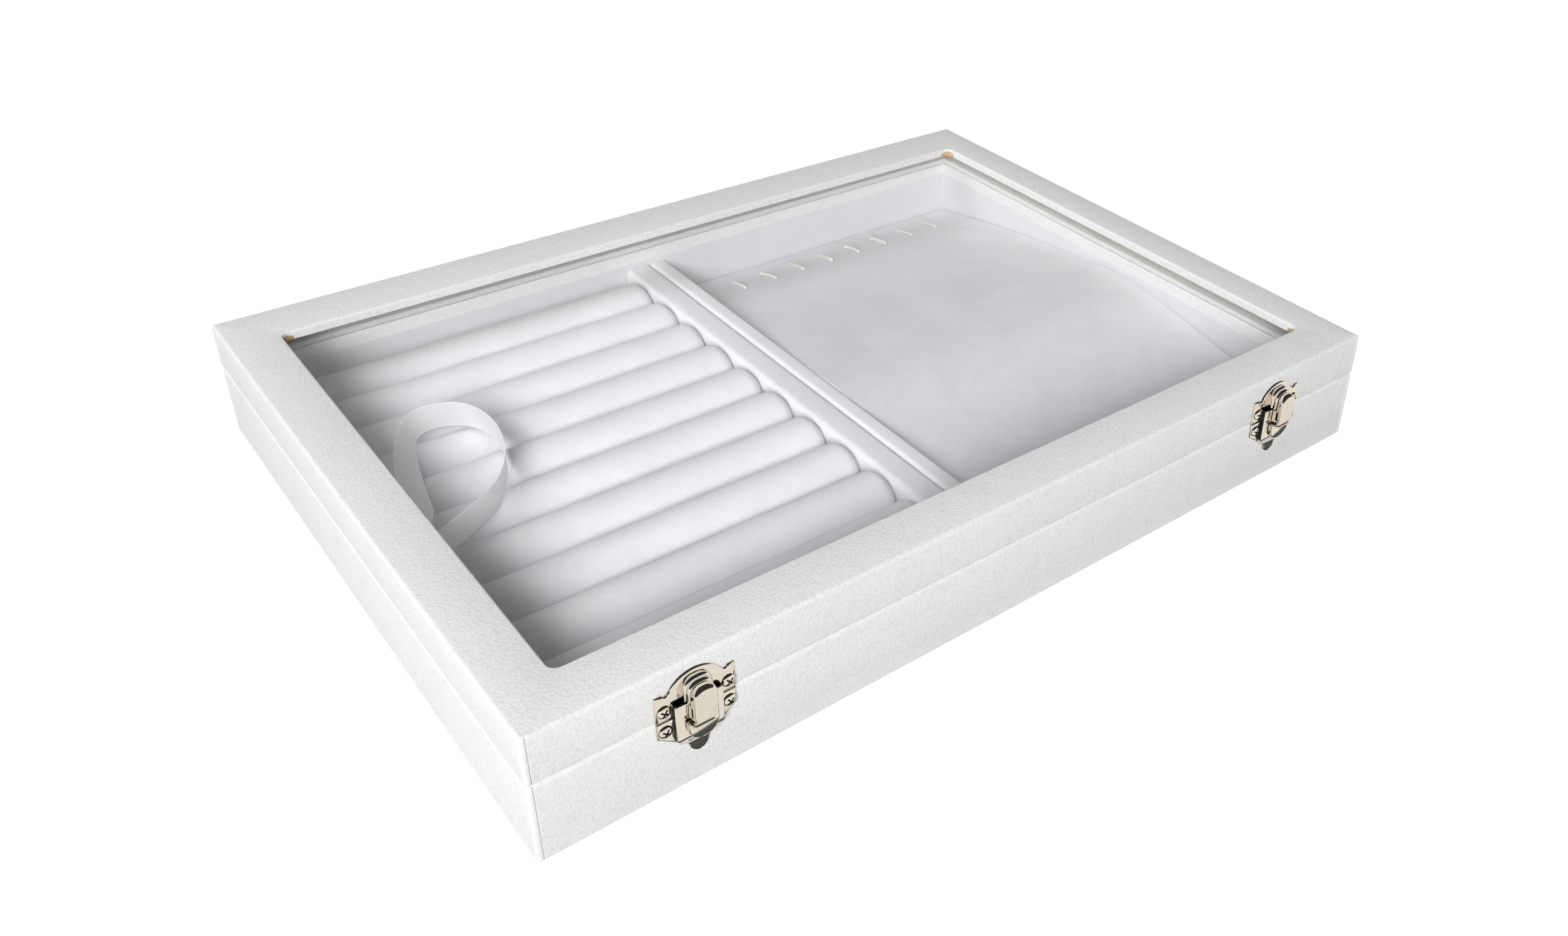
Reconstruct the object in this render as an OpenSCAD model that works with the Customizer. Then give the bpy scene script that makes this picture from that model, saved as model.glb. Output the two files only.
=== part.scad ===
// Ring display box: a low case with a glazed, hinged lid, two front catches,
// a bay of foam ring rolls on the left and a padded necklace board on the right.
// Millimetres. X runs along the front, Y from front to back, Z up. The origin is
// on the surface that the case stands on, under the middle of its footprint.

/* [Case] */
// Width of the case along its front
case_w = 350; // [300:1:420]
// Depth of the case, front face to back face
case_d = 259; // [240:1:300]
// Height of the base, from the table to its rim
base_h = 28.8; // [27:0.2:40]
// Height of the lid
lid_h = 17.4; // [17:0.2:24]
// Gap between the rim of the base and the rim of the lid
split_gap = 0.4; // [0.3:0.1:0.8]
// Radius of the upright corners
corner_r = 1.2; // [0.8:0.1:2]

/* [Boards and skins] */
// Thickness of the fibreboard walls
wall_t = 4.5; // [4:0.1:6]
// Thickness of the floor board
floor_t = 2.2; // [2:0.1:4]
// Thickness of the frame board round the window
frame_t = 2.9; // [2.5:0.1:4]
// Thickness of the leatherette skin
skin_t = 0.5; // [0.4:0.1:0.8]
// Thickness of the paper on the underside
paper_t = 0.3; // [0.2:0.1:0.5]
// Thickness of the velvet on card that lines the walls
lining_t = 1; // [0.8:0.1:1.5]
// Width of the skin turned under the floor
turn_under = 12; // [8:1:20]
// Height of the skin turned in over the rim of the base
turn_in = 5; // [3:0.5:7]
// Height of the skin turned in over the rim of the lid
lid_turn_in = 3; // [2:0.5:4]

/* [Window] */
// Frame width at the left of the window
border_left = 18; // [14:0.1:26]
// Frame width at the right of the window
border_right = 16.2; // [14:0.1:26]
// Frame width in front of the window
border_front = 18.6; // [14:0.1:26]
// Frame width behind the window
border_back = 21.2; // [14:0.1:26]
// Corner radius of the window
window_r = 3; // [2:0.5:6]
// Thickness of the glass
glass_t = 2; // [1.5:0.5:3]
// Clearance round the edge of the glass
glass_gap = 0.3; // [0.2:0.1:0.5]

/* [Ring bay] */
// Distance from roll to roll
roll_pitch = 21.5; // [21.5:0.1:22]
// Diameter of a roll
roll_d = 21.3; // [19:0.1:21.3]
// Height of the roll tops above the table
roll_top = 23.8; // [23:0.1:24.5]
// Share of the space left over in the bay that is in front of the rolls
roll_front_share = 0.32; // [0.1:0.02:0.9]
// Rounding of the roll ends
roll_end_r = 5.5; // [4:0.5:7]
// Thickness of the velvet-covered board under the rolls
tray_t = 2; // [1.5:0.1:3]
// Width of the padded bar at the right ends of the rolls
bar_w = 12; // [6:0.5:14]
// Distance from the rim of the base down to the bar and the divider
bar_drop = 6.8; // [4:0.1:8]

/* [Divider and necklace board] */
// Distance from the left face of the case to the divider
divider_x = 175.7; // [150:0.1:185]
// Thickness of the divider
divider_t = 7; // [4:0.5:8]
// Thickness of the necklace board
board_t = 1.6; // [1.2:0.1:2.5]
// Height of the board's ridge above the table
ridge_z = 22.8; // [18:0.2:23]
// Distance from the front face of the case to the ridge
ridge_y = 116; // [100:1:140]
// How far the back slope bulges above a straight line
board_bulge = 2.4; // [0:0.2:3]
// Number of necklace loops
loop_count = 8; // [6:1:9]
// Distance from loop to loop
loop_pitch = 16; // [14:0.5:18]
// Length of a loop, front to back
loop_len = 12.5; // [6:0.5:14]
// How far the row of loops is shifted to the right
loop_shift = 2; // [0:1:10]
// Thickness of the loop cord
loop_wire = 0.9; // [0.7:0.1:1.2]
// Distance from the back face of the case to the middle of the loops
loop_back = 24; // [20:1:30]

/* [Catches] */
// Distance from the end of the case to the middle of a catch
catch_inset = 50; // [40:1:80]
// Half width of the catch plates
plate_half_w = 12.7; // [12.3:0.1:14]
// Thickness of the pressed plates
plate_t = 0.9; // [0.7:0.1:1]
// Height of the lid plate's arched crown above the split
crown_z = 14.3; // [14:0.1:15]
// Radius of the arched crown
crown_r = 9.7; // [9.2:0.1:10]
// Drop of the base plate's tip below the split
tip_z = 16.5; // [15:0.1:17.5]
// Half width of the lid plate's pressed scoop
scoop_half_w = 4.7; // [4.5:0.1:4.9]
// Height of the scoop's top above the split
scoop_top = 13; // [12.7:0.1:13.3]
// Half width of the raised channel
channel_half_w = 7.7; // [7.2:0.1:8.2]
// Distance of the channel's front face from the case
channel_out = 2.6; // [2.4:0.1:2.7]
// Half width of the hook
hook_half_w = 3.7; // [3.6:0.1:4]
// Distance of the hook's front face from the case
hook_out = 6.7; // [6.6:0.1:7.2]
// Height of the hook's top above the split
hook_top = 11.5; // [11:0.1:12]
// Sheet thickness of the hook and the lever
hook_t = 0.6; // [0.5:0.05:0.6]
// Half width of the lever's finger tab
tab_half_w = 5.1; // [4.8:0.1:5.6]
// Drop of the finger tab below the split
tab_drop = 9.2; // [8:0.1:10]
// Radius of the lever's pivot pin
lever_pin_r = 0.6; // [0.5:0.05:0.65]
// Radius of the hook's pivot pin
hook_pin_r = 0.5; // [0.4:0.05:0.55]
// Distance from the middle of a catch to its screws
catch_screw_x = 10.2; // [10:0.1:10.4]
// Height of the lid plate's screws above the split
catch_screw_up = 3.9; // [3.5:0.1:5]
// Drop of the base plate's screws below the split
catch_screw_down = 3.6; // [3.3:0.1:4]

/* [Hinges] */
// Distance from the end of the case to the middle of a hinge
hinge_inset = 62; // [45:1:90]
// Length of a hinge
hinge_w = 26; // [22:1:32]
// Height of a hinge leaf from the pin's axis
leaf_h = 11; // [10:0.5:12]
// Thickness of a hinge leaf
leaf_t = 0.8; // [0.6:0.1:1]
// Radius of the hinge knuckles
knuckle_r = 1.6; // [1.5:0.1:1.8]
// Radius of the hinge pins
hinge_pin_r = 0.8; // [0.6:0.05:0.9]

/* [Screws] */
// Radius of a screw head
screw_head_r = 2.2; // [1.8:0.1:2.3]
// Height of a screw head
screw_head_h = 1.1; // [0.9:0.1:1.3]
// Radius of a screw shank
screw_r = 0.9; // [0.7:0.05:1.1]
// Length of a screw shank behind its plate
screw_len = 4; // [3:0.1:4.2]

/* [Lid stay] */
// Width of the satin ribbon
ribbon_w = 10; // [8:0.5:10]
// Thickness of the ribbon
ribbon_t = 0.4; // [0.3:0.05:0.4]

/* [Hidden] */
$fn = 48;
cut = 1;
fit = 0.05;
running_gap = 0.07;
soft_gap = 0.3;

floor_z = paper_t + skin_t;
floor_top = floor_z + floor_t;
rim_z = base_h;
split_z = base_h + split_gap / 2;
lid_z = base_h + split_gap;
case_h = lid_z + lid_h;
board_in = skin_t + wall_t;
inner_in = board_in + lining_t;
frame_z = case_h - skin_t - frame_t;
glass_z = frame_z - glass_t;

tray_top = floor_top + tray_t;
insert_top = rim_z - bar_drop;
bar_x = divider_x - bar_w;
roll_left = inner_in + soft_gap + 0.2;
roll_right = bar_x - soft_gap;
roll_axis_z = roll_top - roll_d / 2;
bay_right = divider_x + divider_t;

// The rolls, the bars and the necklace board run between these two; as many rolls as fit there
board_front = inner_in + soft_gap;
board_back = case_d - inner_in - soft_gap;
roll_count = floor((board_back - board_front + roll_pitch - roll_d) / roll_pitch);
roll_spare = board_back - board_front - roll_pitch * (roll_count - 1) - roll_d;
roll_front = board_front + roll_d / 2 + roll_spare * roll_front_share;

board_low_z = floor_top + board_t;
board_steps = 24;
foam_steps = [5, 18];
ridge_soft = 7;

hinge_gap = 0.3;
hinge_y = case_d + knuckle_r + hinge_gap;
hinge_reach = 2 * knuckle_r + hinge_gap;
origin_y = (case_d + hinge_reach - hook_out) / 2;

lever_pivot = [-4, 3];
hook_pivot = [-4.75, 0.4];
moving_gap = 0.3;
tab_back = channel_out + moving_gap;
scoop_low = 5.2;

// Route of the ribbon's middle: distance from the left face, distance from the front, height, and
// how many degrees the ribbon leans to the left as seen along the route
ribbon_route = [[6.6, 101, 30, 0], [12, 101.5, 30, 0], [23, 107.5, 30, 0], [34.5, 113.5, 30, 0],
                [46, 121, 30, 0], [53.5, 130.5, 30, 0], [58.5, 141, 30, 0], [61.3, 153, 30, 0],
                [60.8, 165, 30, 0], [56, 174, 30, 0], [47.5, 178, 30, 0], [40, 176, 30, -8],
                [34.5, 168, 29.3, -28], [29.5, 155, 27.9, -52], [26.5, 142, 27.6, -60],
                [24, 131, 28, -55], [18, 122.5, 30, -40], [11, 123, 33, -20], [7.5, 131, 35, -5],
                [6.8, 147, 35.8, 0]];

SIDES = ["left", "right"];
ROLLS = [for (i = [1:roll_count]) str("ring_roll_", i)];
CATCH = ["catch_lid_plate_", "catch_base_plate_", "catch_lever_", "catch_hook_", "catch_lever_pin_",
         "catch_hook_pin_"];
HINGE = ["hinge_base_leaf_", "hinge_lid_leaf_", "hinge_pin_"];

leatherette = "#e9e7e5";
fibreboard = "#c9a97c";
velvet = "#eceef0";
nickel = "#c9c2b4";
function sign_of(side) = side == "left" ? -1 : 1;

// Shared shapes

module placed() {
    translate([0, -origin_y, 0]) children();
}

// A slab with round upright corners, set in from the faces of the case by the same amount all round
module case_slab(inset, z0, z1, r) {
    w = case_w - 2 * inset;
    d = case_d - 2 * inset;
    translate([-w / 2, inset, z0]) round_slab(w, d, z1 - z0, r);
}

module round_slab(w, d, h, r) {
    translate([r, 0, 0]) cube([w - 2 * r, d, h]);
    translate([0, r, 0]) cube([w, d - 2 * r, h]);
    for (x = [r, w - r], y = [r, d - r]) translate([x, y, 0]) cylinder(r=r, h=h);
}

// A plain box, set in from the faces of the case
module case_block(inset, z0, z1) {
    translate([inset - case_w / 2, inset, z0]) cube([case_w - 2 * inset, case_d - 2 * inset, z1 - z0]);
}

// The window: grow moves its edge outwards
module window_slab(grow, z0, z1) {
    w = case_w - border_left - border_right + 2 * grow;
    d = case_d - border_front - border_back + 2 * grow;
    translate([border_left - grow - case_w / 2, border_front - grow, z0])
        round_slab(w, d, z1 - z0, window_r + grow);
}

// Repeats what is drawn at the middle of a catch, where y = 0 is the front face
module at_catch(side) {
    translate([sign_of(side) * (case_w / 2 - catch_inset), 0, split_z]) children();
}

module at_catches() {
    for (side = SIDES) at_catch(side) children();
}

// Repeats what is drawn at the middle of a hinge, where the axis is the X axis
module at_hinge(side) {
    translate([sign_of(side) * (case_w / 2 - hinge_inset), hinge_y, split_z]) children();
}

module at_hinges() {
    for (side = SIDES) at_hinge(side) children();
}

// A screw through a plate on the front: its head is in front of y = -seat, its shank runs to +y
module screw(seat) {
    translate([0, -seat, 0]) rotate([90, 0, 0]) difference() {
        union() {
            translate([0, 0, -seat - screw_len]) cylinder(r=screw_r, h=seat + screw_len);
            intersection() {
                cylinder(r=screw_head_r, h=screw_head_h);
                translate([0, 0, screw_head_h - 3 * screw_head_r]) sphere(r=3 * screw_head_r);
            }
        }
        for (turn = [45, 135]) rotate([0, 0, turn])
            translate([-screw_head_r * 0.62, -0.28, screw_head_h * 0.35])
                cube([screw_head_r * 1.24, 0.56, screw_head_h]);
    }
}

// The hole that a screw passes through, from reach in front of y = 0 to the same depth as the shank
module screw_hole(reach) {
    translate([0, screw_len + cut, 0]) rotate([90, 0, 0])
        cylinder(r=screw_r + fit, h=reach + screw_len + cut);
}

module catch_screws_at(z) {
    at_catches() for (x = [-catch_screw_x, catch_screw_x]) translate([x, 0, z]) children();
}

module hinge_screws_at(z) {
    at_hinges() for (x = [-hinge_w / 3.6, hinge_w / 3.6])
        translate([x, case_d - hinge_y, z]) rotate([0, 0, 180]) children();
}

leaf_screw_z = leaf_h * 0.62;

// Base: floor, walls, skin and lining

module bottom_paper() {
    color("#d8d5cf") placed() case_block(3, 0, paper_t);
}

module base_floor() {
    color(fibreboard) placed() case_block(skin_t, floor_z, floor_top);
}

module base_wall_front() {
    color(fibreboard) placed() difference() {
        long_wall(skin_t, floor_top, rim_z - skin_t);
        catch_screws_at(-catch_screw_down) screw_hole(cut);
    }
}

module base_wall_back() {
    color(fibreboard) placed() difference() {
        long_wall(case_d - board_in, floor_top, rim_z - skin_t);
        hinge_screws_at(-leaf_screw_z) screw_hole(cut);
    }
}

module base_wall_left() {
    color(fibreboard) placed() end_wall(skin_t - case_w / 2, floor_top, rim_z - skin_t);
}

module base_wall_right() {
    color(fibreboard) placed() end_wall(case_w / 2 - board_in, floor_top, rim_z - skin_t);
}

module long_wall(y, z0, z1) {
    translate([skin_t - case_w / 2, y, z0]) cube([case_w - 2 * skin_t, wall_t, z1 - z0]);
}

module end_wall(x, z0, z1) {
    translate([x, board_in, z0]) cube([wall_t, case_d - 2 * board_in, z1 - z0]);
}

module base_cover() {
    color(leatherette) placed() difference() {
        case_slab(0, paper_t, rim_z, corner_r);
        difference() {
            case_block(skin_t, floor_z, rim_z - skin_t);
            case_block(board_in, rim_z - turn_in, rim_z + cut);
        }
        case_block(board_in + skin_t, rim_z - turn_in - cut, rim_z + cut);
        case_block(turn_under, 0, floor_z + cut);
        catch_screws_at(-catch_screw_down) screw_hole(cut);
        hinge_screws_at(-leaf_screw_z) screw_hole(cut);
    }
}

// Four strips of velvet on card, mitred in the corners
module base_lining() {
    color(velvet) placed() lining_strips(floor_top, rim_z - turn_in);
}

module lining_strips(z0, z1) {
    difference() {
        case_block(board_in, z0, z1);
        case_block(inner_in, z0 - cut, z1 + cut);
        corner_slits(z0, z1);
    }
}

module corner_slits(z0, z1) {
    for (x = [-1, 1], y = [0, 1])
        translate([x * (case_w / 2 - board_in), y == 0 ? board_in : case_d - board_in, z0 - cut])
            rotate([0, 0, y == 0 ? 90 + x * 45 : 270 - x * 45])
                translate([-cut, -fit / 2, 0]) cube([3 * lining_t + cut, fit, z1 - z0 + 2 * cut]);
}

// Ring bay

module ring_tray_board() {
    left = inner_in + soft_gap;
    color(velvet) placed() translate([left - case_w / 2, board_front, floor_top])
        cube([divider_x - soft_gap - left, board_back - board_front, tray_t]);
}

// A foam roll with rounded ends, cut flat where it is glued to the tray board
module ring_roll(number) {
    color(velvet) placed() difference() {
        translate([roll_left - case_w / 2, roll_front + roll_pitch * (number - 1), roll_axis_z])
            rotate([0, 90, 0]) rotate_extrude() roll_outline(roll_d / 2, roll_right - roll_left);
        translate([-case_w / 2, 0, -cut]) cube([case_w, case_d, tray_top + cut]);
    }
}

module roll_outline(r, length) {
    square([r - roll_end_r, length]);
    translate([0, roll_end_r]) square([r, length - 2 * roll_end_r]);
    for (y = [roll_end_r, length - roll_end_r]) intersection() {
        translate([r - roll_end_r, y]) circle(r=roll_end_r);
        square([r, length]);
    }
}

// Padded bar that closes the right ends of the rolls; it stands on the tray board
module tray_end_bar() {
    color(velvet) placed() translate([bar_x - case_w / 2, board_front, tray_top])
        bar_solid(bar_w - soft_gap, board_back - board_front, insert_top - tray_top, 2.5);
}

module divider() {
    color(velvet) placed() translate([divider_x - case_w / 2, board_front, floor_top])
        bar_solid(divider_t, board_back - board_front, insert_top - floor_top, 1.6);
}

// An upright bar along Y with its two top edges rounded
module bar_solid(w, length, h, r) {
    cube([w, length, h - r]);
    translate([r, 0, 0]) cube([w - 2 * r, length, h]);
    for (x = [r, w - r]) translate([x, 0, h - r]) rotate([-90, 0, 0]) cylinder(r=r, h=length);
}

// Necklace board: card bent at a soft ridge, velvet on top

function straight_z(y) = y < ridge_y
    ? board_low_z + (ridge_z - board_low_z) * max(y - 3 * board_front, 0) / (ridge_y - 3 * board_front)
    : ridge_z - (ridge_z - board_low_z) * (y - ridge_y) / (board_back - ridge_y);
function bulge_z(y) = y < ridge_y ? 0
    : 4 * board_bulge * (y - ridge_y) * (board_back - y) / pow(board_back - ridge_y, 2);
function board_z(y) = straight_z(y) + bulge_z(y);
function soft_board_z(y) = y - ridge_soft < board_front || y + ridge_soft > board_back ? board_z(y)
    : (board_z(y - ridge_soft) + 2 * board_z(y) + board_z(y + ridge_soft)) / 4;
function board_y(step) = board_front + (board_back - board_front) * step / board_steps;

// The space from the floor up to drop below the board's face, between two of the board's steps
module under_board(first, last, drop) {
    left = bay_right + soft_gap;
    width = case_w - inner_in - soft_gap - left;
    points = [for (i = [first:last]) [board_y(i), soft_board_z(board_y(i)) - drop]];
    translate([left - case_w / 2, 0, 0]) rotate([90, 0, 90]) linear_extrude(width)
        polygon(concat([[board_y(first), floor_top]], points, [[board_y(last), floor_top]]));
}

module necklace_board() {
    color(velvet) placed() difference() {
        under_board(0, board_steps, 0);
        under_board_void();
    }
}

module under_board_void() {
    points = [for (i = [0:board_steps]) [board_y(i), soft_board_z(board_y(i)) - board_t]];
    high = [for (p = points) if (p[1] > floor_top + fit) p];
    first = high[0][0];
    last = high[len(high) - 1][0];
    translate([-case_w, 0, 0]) rotate([90, 0, 90]) linear_extrude(2 * case_w)
        polygon(concat([[first, floor_top - cut]], high, [[last, floor_top - cut]]));
}

// Foam wedge that carries the ridge of the board
module necklace_foam() {
    color("#f4f1ea") placed() under_board(foam_steps[0], foam_steps[1], board_t + fit);
}

module necklace_loops() {
    y = case_d - loop_back;
    middle = (bay_right + case_w - inner_in) / 2 + loop_shift;
    slope = atan((soft_board_z(y - loop_len / 2) - soft_board_z(y + loop_len / 2)) / loop_len);
    color("#dfe3d4") placed() for (i = [0:loop_count - 1])
        translate([middle + loop_pitch * (i - (loop_count - 1) / 2) - case_w / 2, y, soft_board_z(y)])
            rotate([-slope, 0, 0]) necklace_loop();
}

// A loop of cord: two posts and a round bar between them, flat on the velvet
module necklace_loop() {
    r = loop_wire / 2;
    half = loop_len / 2 - r;
    rise = 1.2;
    for (y = [-half, half]) translate([0, y, 0.02]) {
        cylinder(r=r, h=rise, $fn=24);
        translate([0, 0, rise]) sphere(r=r, $fn=24);
    }
    translate([0, -half, rise + 0.02]) rotate([-90, 0, 0]) cylinder(r=r, h=2 * half, $fn=24);
}

// Lid: walls, frame board, skin, glass and lining

module lid_wall_front() {
    color(fibreboard) placed() difference() {
        long_wall(skin_t, lid_z + skin_t, frame_z);
        catch_screws_at(catch_screw_up) screw_hole(cut);
    }
}

module lid_wall_back() {
    color(fibreboard) placed() difference() {
        long_wall(case_d - board_in, lid_z + skin_t, frame_z);
        hinge_screws_at(leaf_screw_z) screw_hole(cut);
    }
}

module lid_wall_left() {
    color(fibreboard) placed() end_wall(skin_t - case_w / 2, lid_z + skin_t, frame_z);
}

module lid_wall_right() {
    color(fibreboard) placed() end_wall(case_w / 2 - board_in, lid_z + skin_t, frame_z);
}

module lid_frame_board() {
    color(fibreboard) placed() difference() {
        case_block(skin_t, frame_z, frame_z + frame_t);
        window_slab(skin_t, frame_z - cut, case_h + cut);
    }
}

module lid_cover() {
    color(leatherette) placed() difference() {
        case_slab(0, lid_z, case_h, corner_r);
        difference() {
            case_block(skin_t, lid_z + skin_t, frame_z);
            case_block(board_in, lid_z, lid_z + lid_turn_in);
        }
        case_block(board_in + skin_t, lid_z - cut, frame_z);
        difference() {
            case_block(skin_t, frame_z - cut, case_h - skin_t);
            window_slab(skin_t, frame_z - 2 * cut, case_h);
        }
        window_slab(0, lid_z, case_h + cut);
        catch_screws_at(catch_screw_up) screw_hole(cut);
        hinge_screws_at(leaf_screw_z) screw_hole(cut);
    }
}

module glass_pane() {
    color("#cfe3e6", 0.35) placed() case_block(board_in + glass_gap, glass_z, frame_z);
}

module lid_lining() {
    color("#c9c7c3") placed() lining_strips(lid_z + lid_turn_in, glass_z);
}

// Lid stay: a satin ribbon on edge, folded into a loop while the lid is shut

function curve_point(a, b, c, d, t) = 0.5 * (2 * b + (c - a) * t + (2 * a - 5 * b + 4 * c - d) * t * t
    + (3 * b - a - 3 * c + d) * t * t * t);
function route_at(i) = ribbon_route[min(max(i, 0), len(ribbon_route) - 1)];
ribbon_steps = 4;
ribbon_path = [for (i = [0:len(ribbon_route) - 2], s = [0:ribbon_steps - 1])
                   curve_point(route_at(i - 1), route_at(i), route_at(i + 1), route_at(i + 2),
                               s / ribbon_steps),
               route_at(len(ribbon_route) - 1)];
function path_at(i) = ribbon_path[min(max(i, 0), len(ribbon_path) - 1)];
function side_of(i) = let (d = path_at(i + 1) - path_at(i - 1), n = norm([d[0], d[1]]))
    [-d[1] / n, d[0] / n, 0];
function middle_of(i) = [ribbon_path[i][0], ribbon_path[i][1], ribbon_path[i][2]];
function across(i) = side_of(i) * sin(ribbon_path[i][3]) + [0, 0, cos(ribbon_path[i][3])];
function outward(i) = side_of(i) * cos(ribbon_path[i][3]) - [0, 0, sin(ribbon_path[i][3])];

module lid_stay_ribbon() {
    rings = len(ribbon_path);
    points = [for (i = [0:rings - 1], corner = [[-1, -1], [1, -1], [1, 1], [-1, 1]])
              middle_of(i) + outward(i) * corner[0] * ribbon_t / 2 + across(i) * corner[1] * ribbon_w / 2];
    walls = [for (i = [0:rings - 2], k = [0:3]) let (a = 4 * i + k, b = 4 * i + (k + 1) % 4)
             each [[a, a + 4, b], [b, a + 4, b + 4]]];
    last = 4 * (rings - 1);
    ends = [[0, 1, 2], [0, 2, 3], [last, last + 2, last + 1], [last, last + 3, last + 2]];
    color("#f2f4f8", 0.7) placed() translate([-case_w / 2, 0, 0])
        polyhedron(points=points, faces=concat(walls, ends));
}

// Catches. In these modules y = 0 is the case, z = 0 the split, and the front is towards -y

// Extrudes a side view, drawn as [y, z], to half_w on each side
module side_view(half_w) {
    translate([-half_w, 0, 0]) rotate([90, 0, 90]) linear_extrude(2 * half_w) children();
}

// Extrudes a front view, drawn as [x, z], from y0 to y1 in front of the case
module front_view(y0, y1) {
    translate([0, -y0, 0]) rotate([90, 0, 0]) linear_extrude(y1 - y0) children();
}

// A bar with round top corners, standing on z0
module arched_outline(half_w, z0, z1, r) {
    translate([-half_w, z0]) square([2 * half_w, z1 - z0 - r]);
    translate([r - half_w, z0]) square([2 * (half_w - r), z1 - z0]);
    for (x = [-1, 1]) translate([x * (half_w - r), z1 - r]) circle(r=r);
}

wing_top = 9.6;
wing_gap = 0.5;
scoop_out = hook_out - 2.6;
channel_low = 8;
channel_t = 0.6;
tip_r = 3.2;

module lid_plate_outline() {
    difference() {
        union() {
            translate([-plate_half_w, wing_gap]) square([2 * plate_half_w, wing_top - wing_gap]);
            intersection() {
                translate([0, crown_z - crown_r]) circle(r=crown_r, $fn=96);
                translate([-plate_half_w, wing_gap]) square([2 * plate_half_w, crown_z]);
            }
        }
        for (x = [-1, 1]) translate([x * 9.3, wing_top + 0.25]) circle(r=0.8);
    }
}

// The lid's plate has a pressed scoop, which the hook pulls down on
module catch_lid_plate(side) {
    color(nickel) placed() at_catch(side) {
        difference() {
            front_view(0, plate_t) lid_plate_outline();
            for (x = [-1, 1]) translate([x * catch_screw_x, 0, catch_screw_up]) screw_hole(2 * plate_t);
        }
        difference() {
            union() {
                front_view(plate_t, scoop_out - 1.5) arched_outline(scoop_half_w, scoop_low, scoop_top, 4);
                front_view(scoop_out - 1.5, scoop_out)
                    arched_outline(scoop_half_w - 0.6, scoop_low, scoop_top - 0.7, 3.5);
            }
            front_view(plate_t, scoop_out - 0.7)
                arched_outline(scoop_half_w - 1.3, scoop_low - cut, scoop_top - 1.4, 3);
        }
    }
}

// The front outline of the channel and of the tongue under it
module tongue_outline() {
    translate([-channel_half_w, -channel_low])
        square([2 * channel_half_w, channel_low + scoop_low - 0.4]);
    polygon([[-channel_half_w, -channel_low], [-6.6, -10.4], [-4.4, -11.6], [0.1 - tip_r, tip_r - 0.6 - tip_z],
             [tip_r - 0.1, tip_r - 0.6 - tip_z], [4.4, -11.6], [6.6, -10.4], [channel_half_w, -channel_low]]);
    translate([0, tip_r - tip_z]) circle(r=tip_r);
}

// The sheet of the channel seen from the side: upright, then sloping back to the case
module channel_profile() {
    polygon([[-channel_out, scoop_low], [-channel_out, -channel_low], [-plate_t, -channel_low - 4],
             [-plate_t, -tip_z - cut], [0, -tip_z - cut], [0, scoop_low]]);
}

module base_wing_outline() {
    polygon([[-plate_half_w, -wing_gap], [-plate_half_w, -5.7], [-6.6, -10.2], [6.6, -10.2],
             [plate_half_w, -5.7], [plate_half_w, -wing_gap]]);
}

// The base plate carries a raised channel with two ears for the lever's pin
module catch_base_plate(side) {
    color(nickel) placed() at_catch(side) difference() {
        union() {
            front_view(0, plate_t) base_wing_outline();
            intersection() {
                front_view(0, channel_out) tongue_outline();
                side_view(channel_half_w) channel_profile();
            }
            for (x = [-1, 1]) translate([x * 2.6, 0, 0]) ear();
        }
        intersection() {
            front_view(-cut, channel_out) translate([-channel_half_w + channel_t, -channel_low + channel_t])
                square([2 * (channel_half_w - channel_t), channel_low + scoop_low]);
            side_view(channel_half_w) translate([0, -cut])
                square_between([channel_t - channel_out, -channel_low], [cut, scoop_low + cut]);
        }
        translate([-plate_half_w, -plate_t - moving_gap, -wing_gap])
            cube([2 * plate_half_w, plate_t + moving_gap + cut, crown_z]);
        pivot_pin(lever_pivot, lever_pin_r + fit, 5);
        for (x = [-1, 1]) translate([x * catch_screw_x, 0, -catch_screw_down]) screw_hole(2 * plate_t);
    }
}

module square_between(low, high) {
    translate(low) square(high - low);
}

module ear() {
    r = 1.25;
    translate([-0.3, lever_pivot[0], lever_pivot[1]]) rotate([0, 90, 0]) cylinder(r=r, h=0.6);
    translate([-0.3, lever_pivot[0], lever_pivot[1] - r]) cube([0.6, -lever_pivot[0] - 2, 2 * r]);
}

module pivot_pin(pivot, r, half_len) {
    translate([0, pivot[0], pivot[1]]) rotate([0, 90, 0]) cylinder(r=r, h=2 * half_len, center=true);
}

module catch_lever_pin(side) {
    color(nickel) placed() at_catch(side) pivot_pin(lever_pivot, lever_pin_r, 3);
}

module catch_hook_pin(side) {
    color(nickel) placed() at_catch(side) pivot_pin(hook_pivot, hook_pin_r, hook_half_w + 0.1);
}

// The lever: a stem between the ears, a boss for the hook's pin and an oval finger tab
module catch_lever(side) {
    tab_front = tab_back + 0.9;
    color(nickel) placed() at_catch(side) difference() {
        union() {
            front_view(tab_back, tab_front) {
                translate([-2.1, -2]) square([4.2, lever_pivot[1] + 2]);
                translate([-tab_half_w, -tab_drop + tab_half_w])
                    square([2 * tab_half_w, tab_drop - tab_half_w - 0.8]);
                translate([0, -tab_drop + tab_half_w]) intersection() {
                    circle(r=tab_half_w);
                    translate([-tab_half_w, -tab_half_w]) square([2 * tab_half_w, tab_half_w]);
                }
            }
            pivot_pin(lever_pivot, 1.1, 2.1);
            pivot_pin(hook_pivot, 1, 2.8);
            translate([-2.8, hook_pivot[0], hook_pivot[1] - 1]) cube([5.6, 1.4, 1.4]);
            lever_bead(tab_front);
        }
        pivot_pin(lever_pivot, lever_pin_r + running_gap, 5);
        pivot_pin(hook_pivot, hook_pin_r + running_gap, 5);
    }
}

// A raised bead across the lever, just under the hook's lower edge
module lever_bead(tab_front) {
    translate([-hook_half_w - 0.4, -tab_front, -2.6]) rotate([0, 90, 0])
        cylinder(r=0.6, h=2 * hook_half_w + 0.8);
}

hook_low = -0.3;

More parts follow.
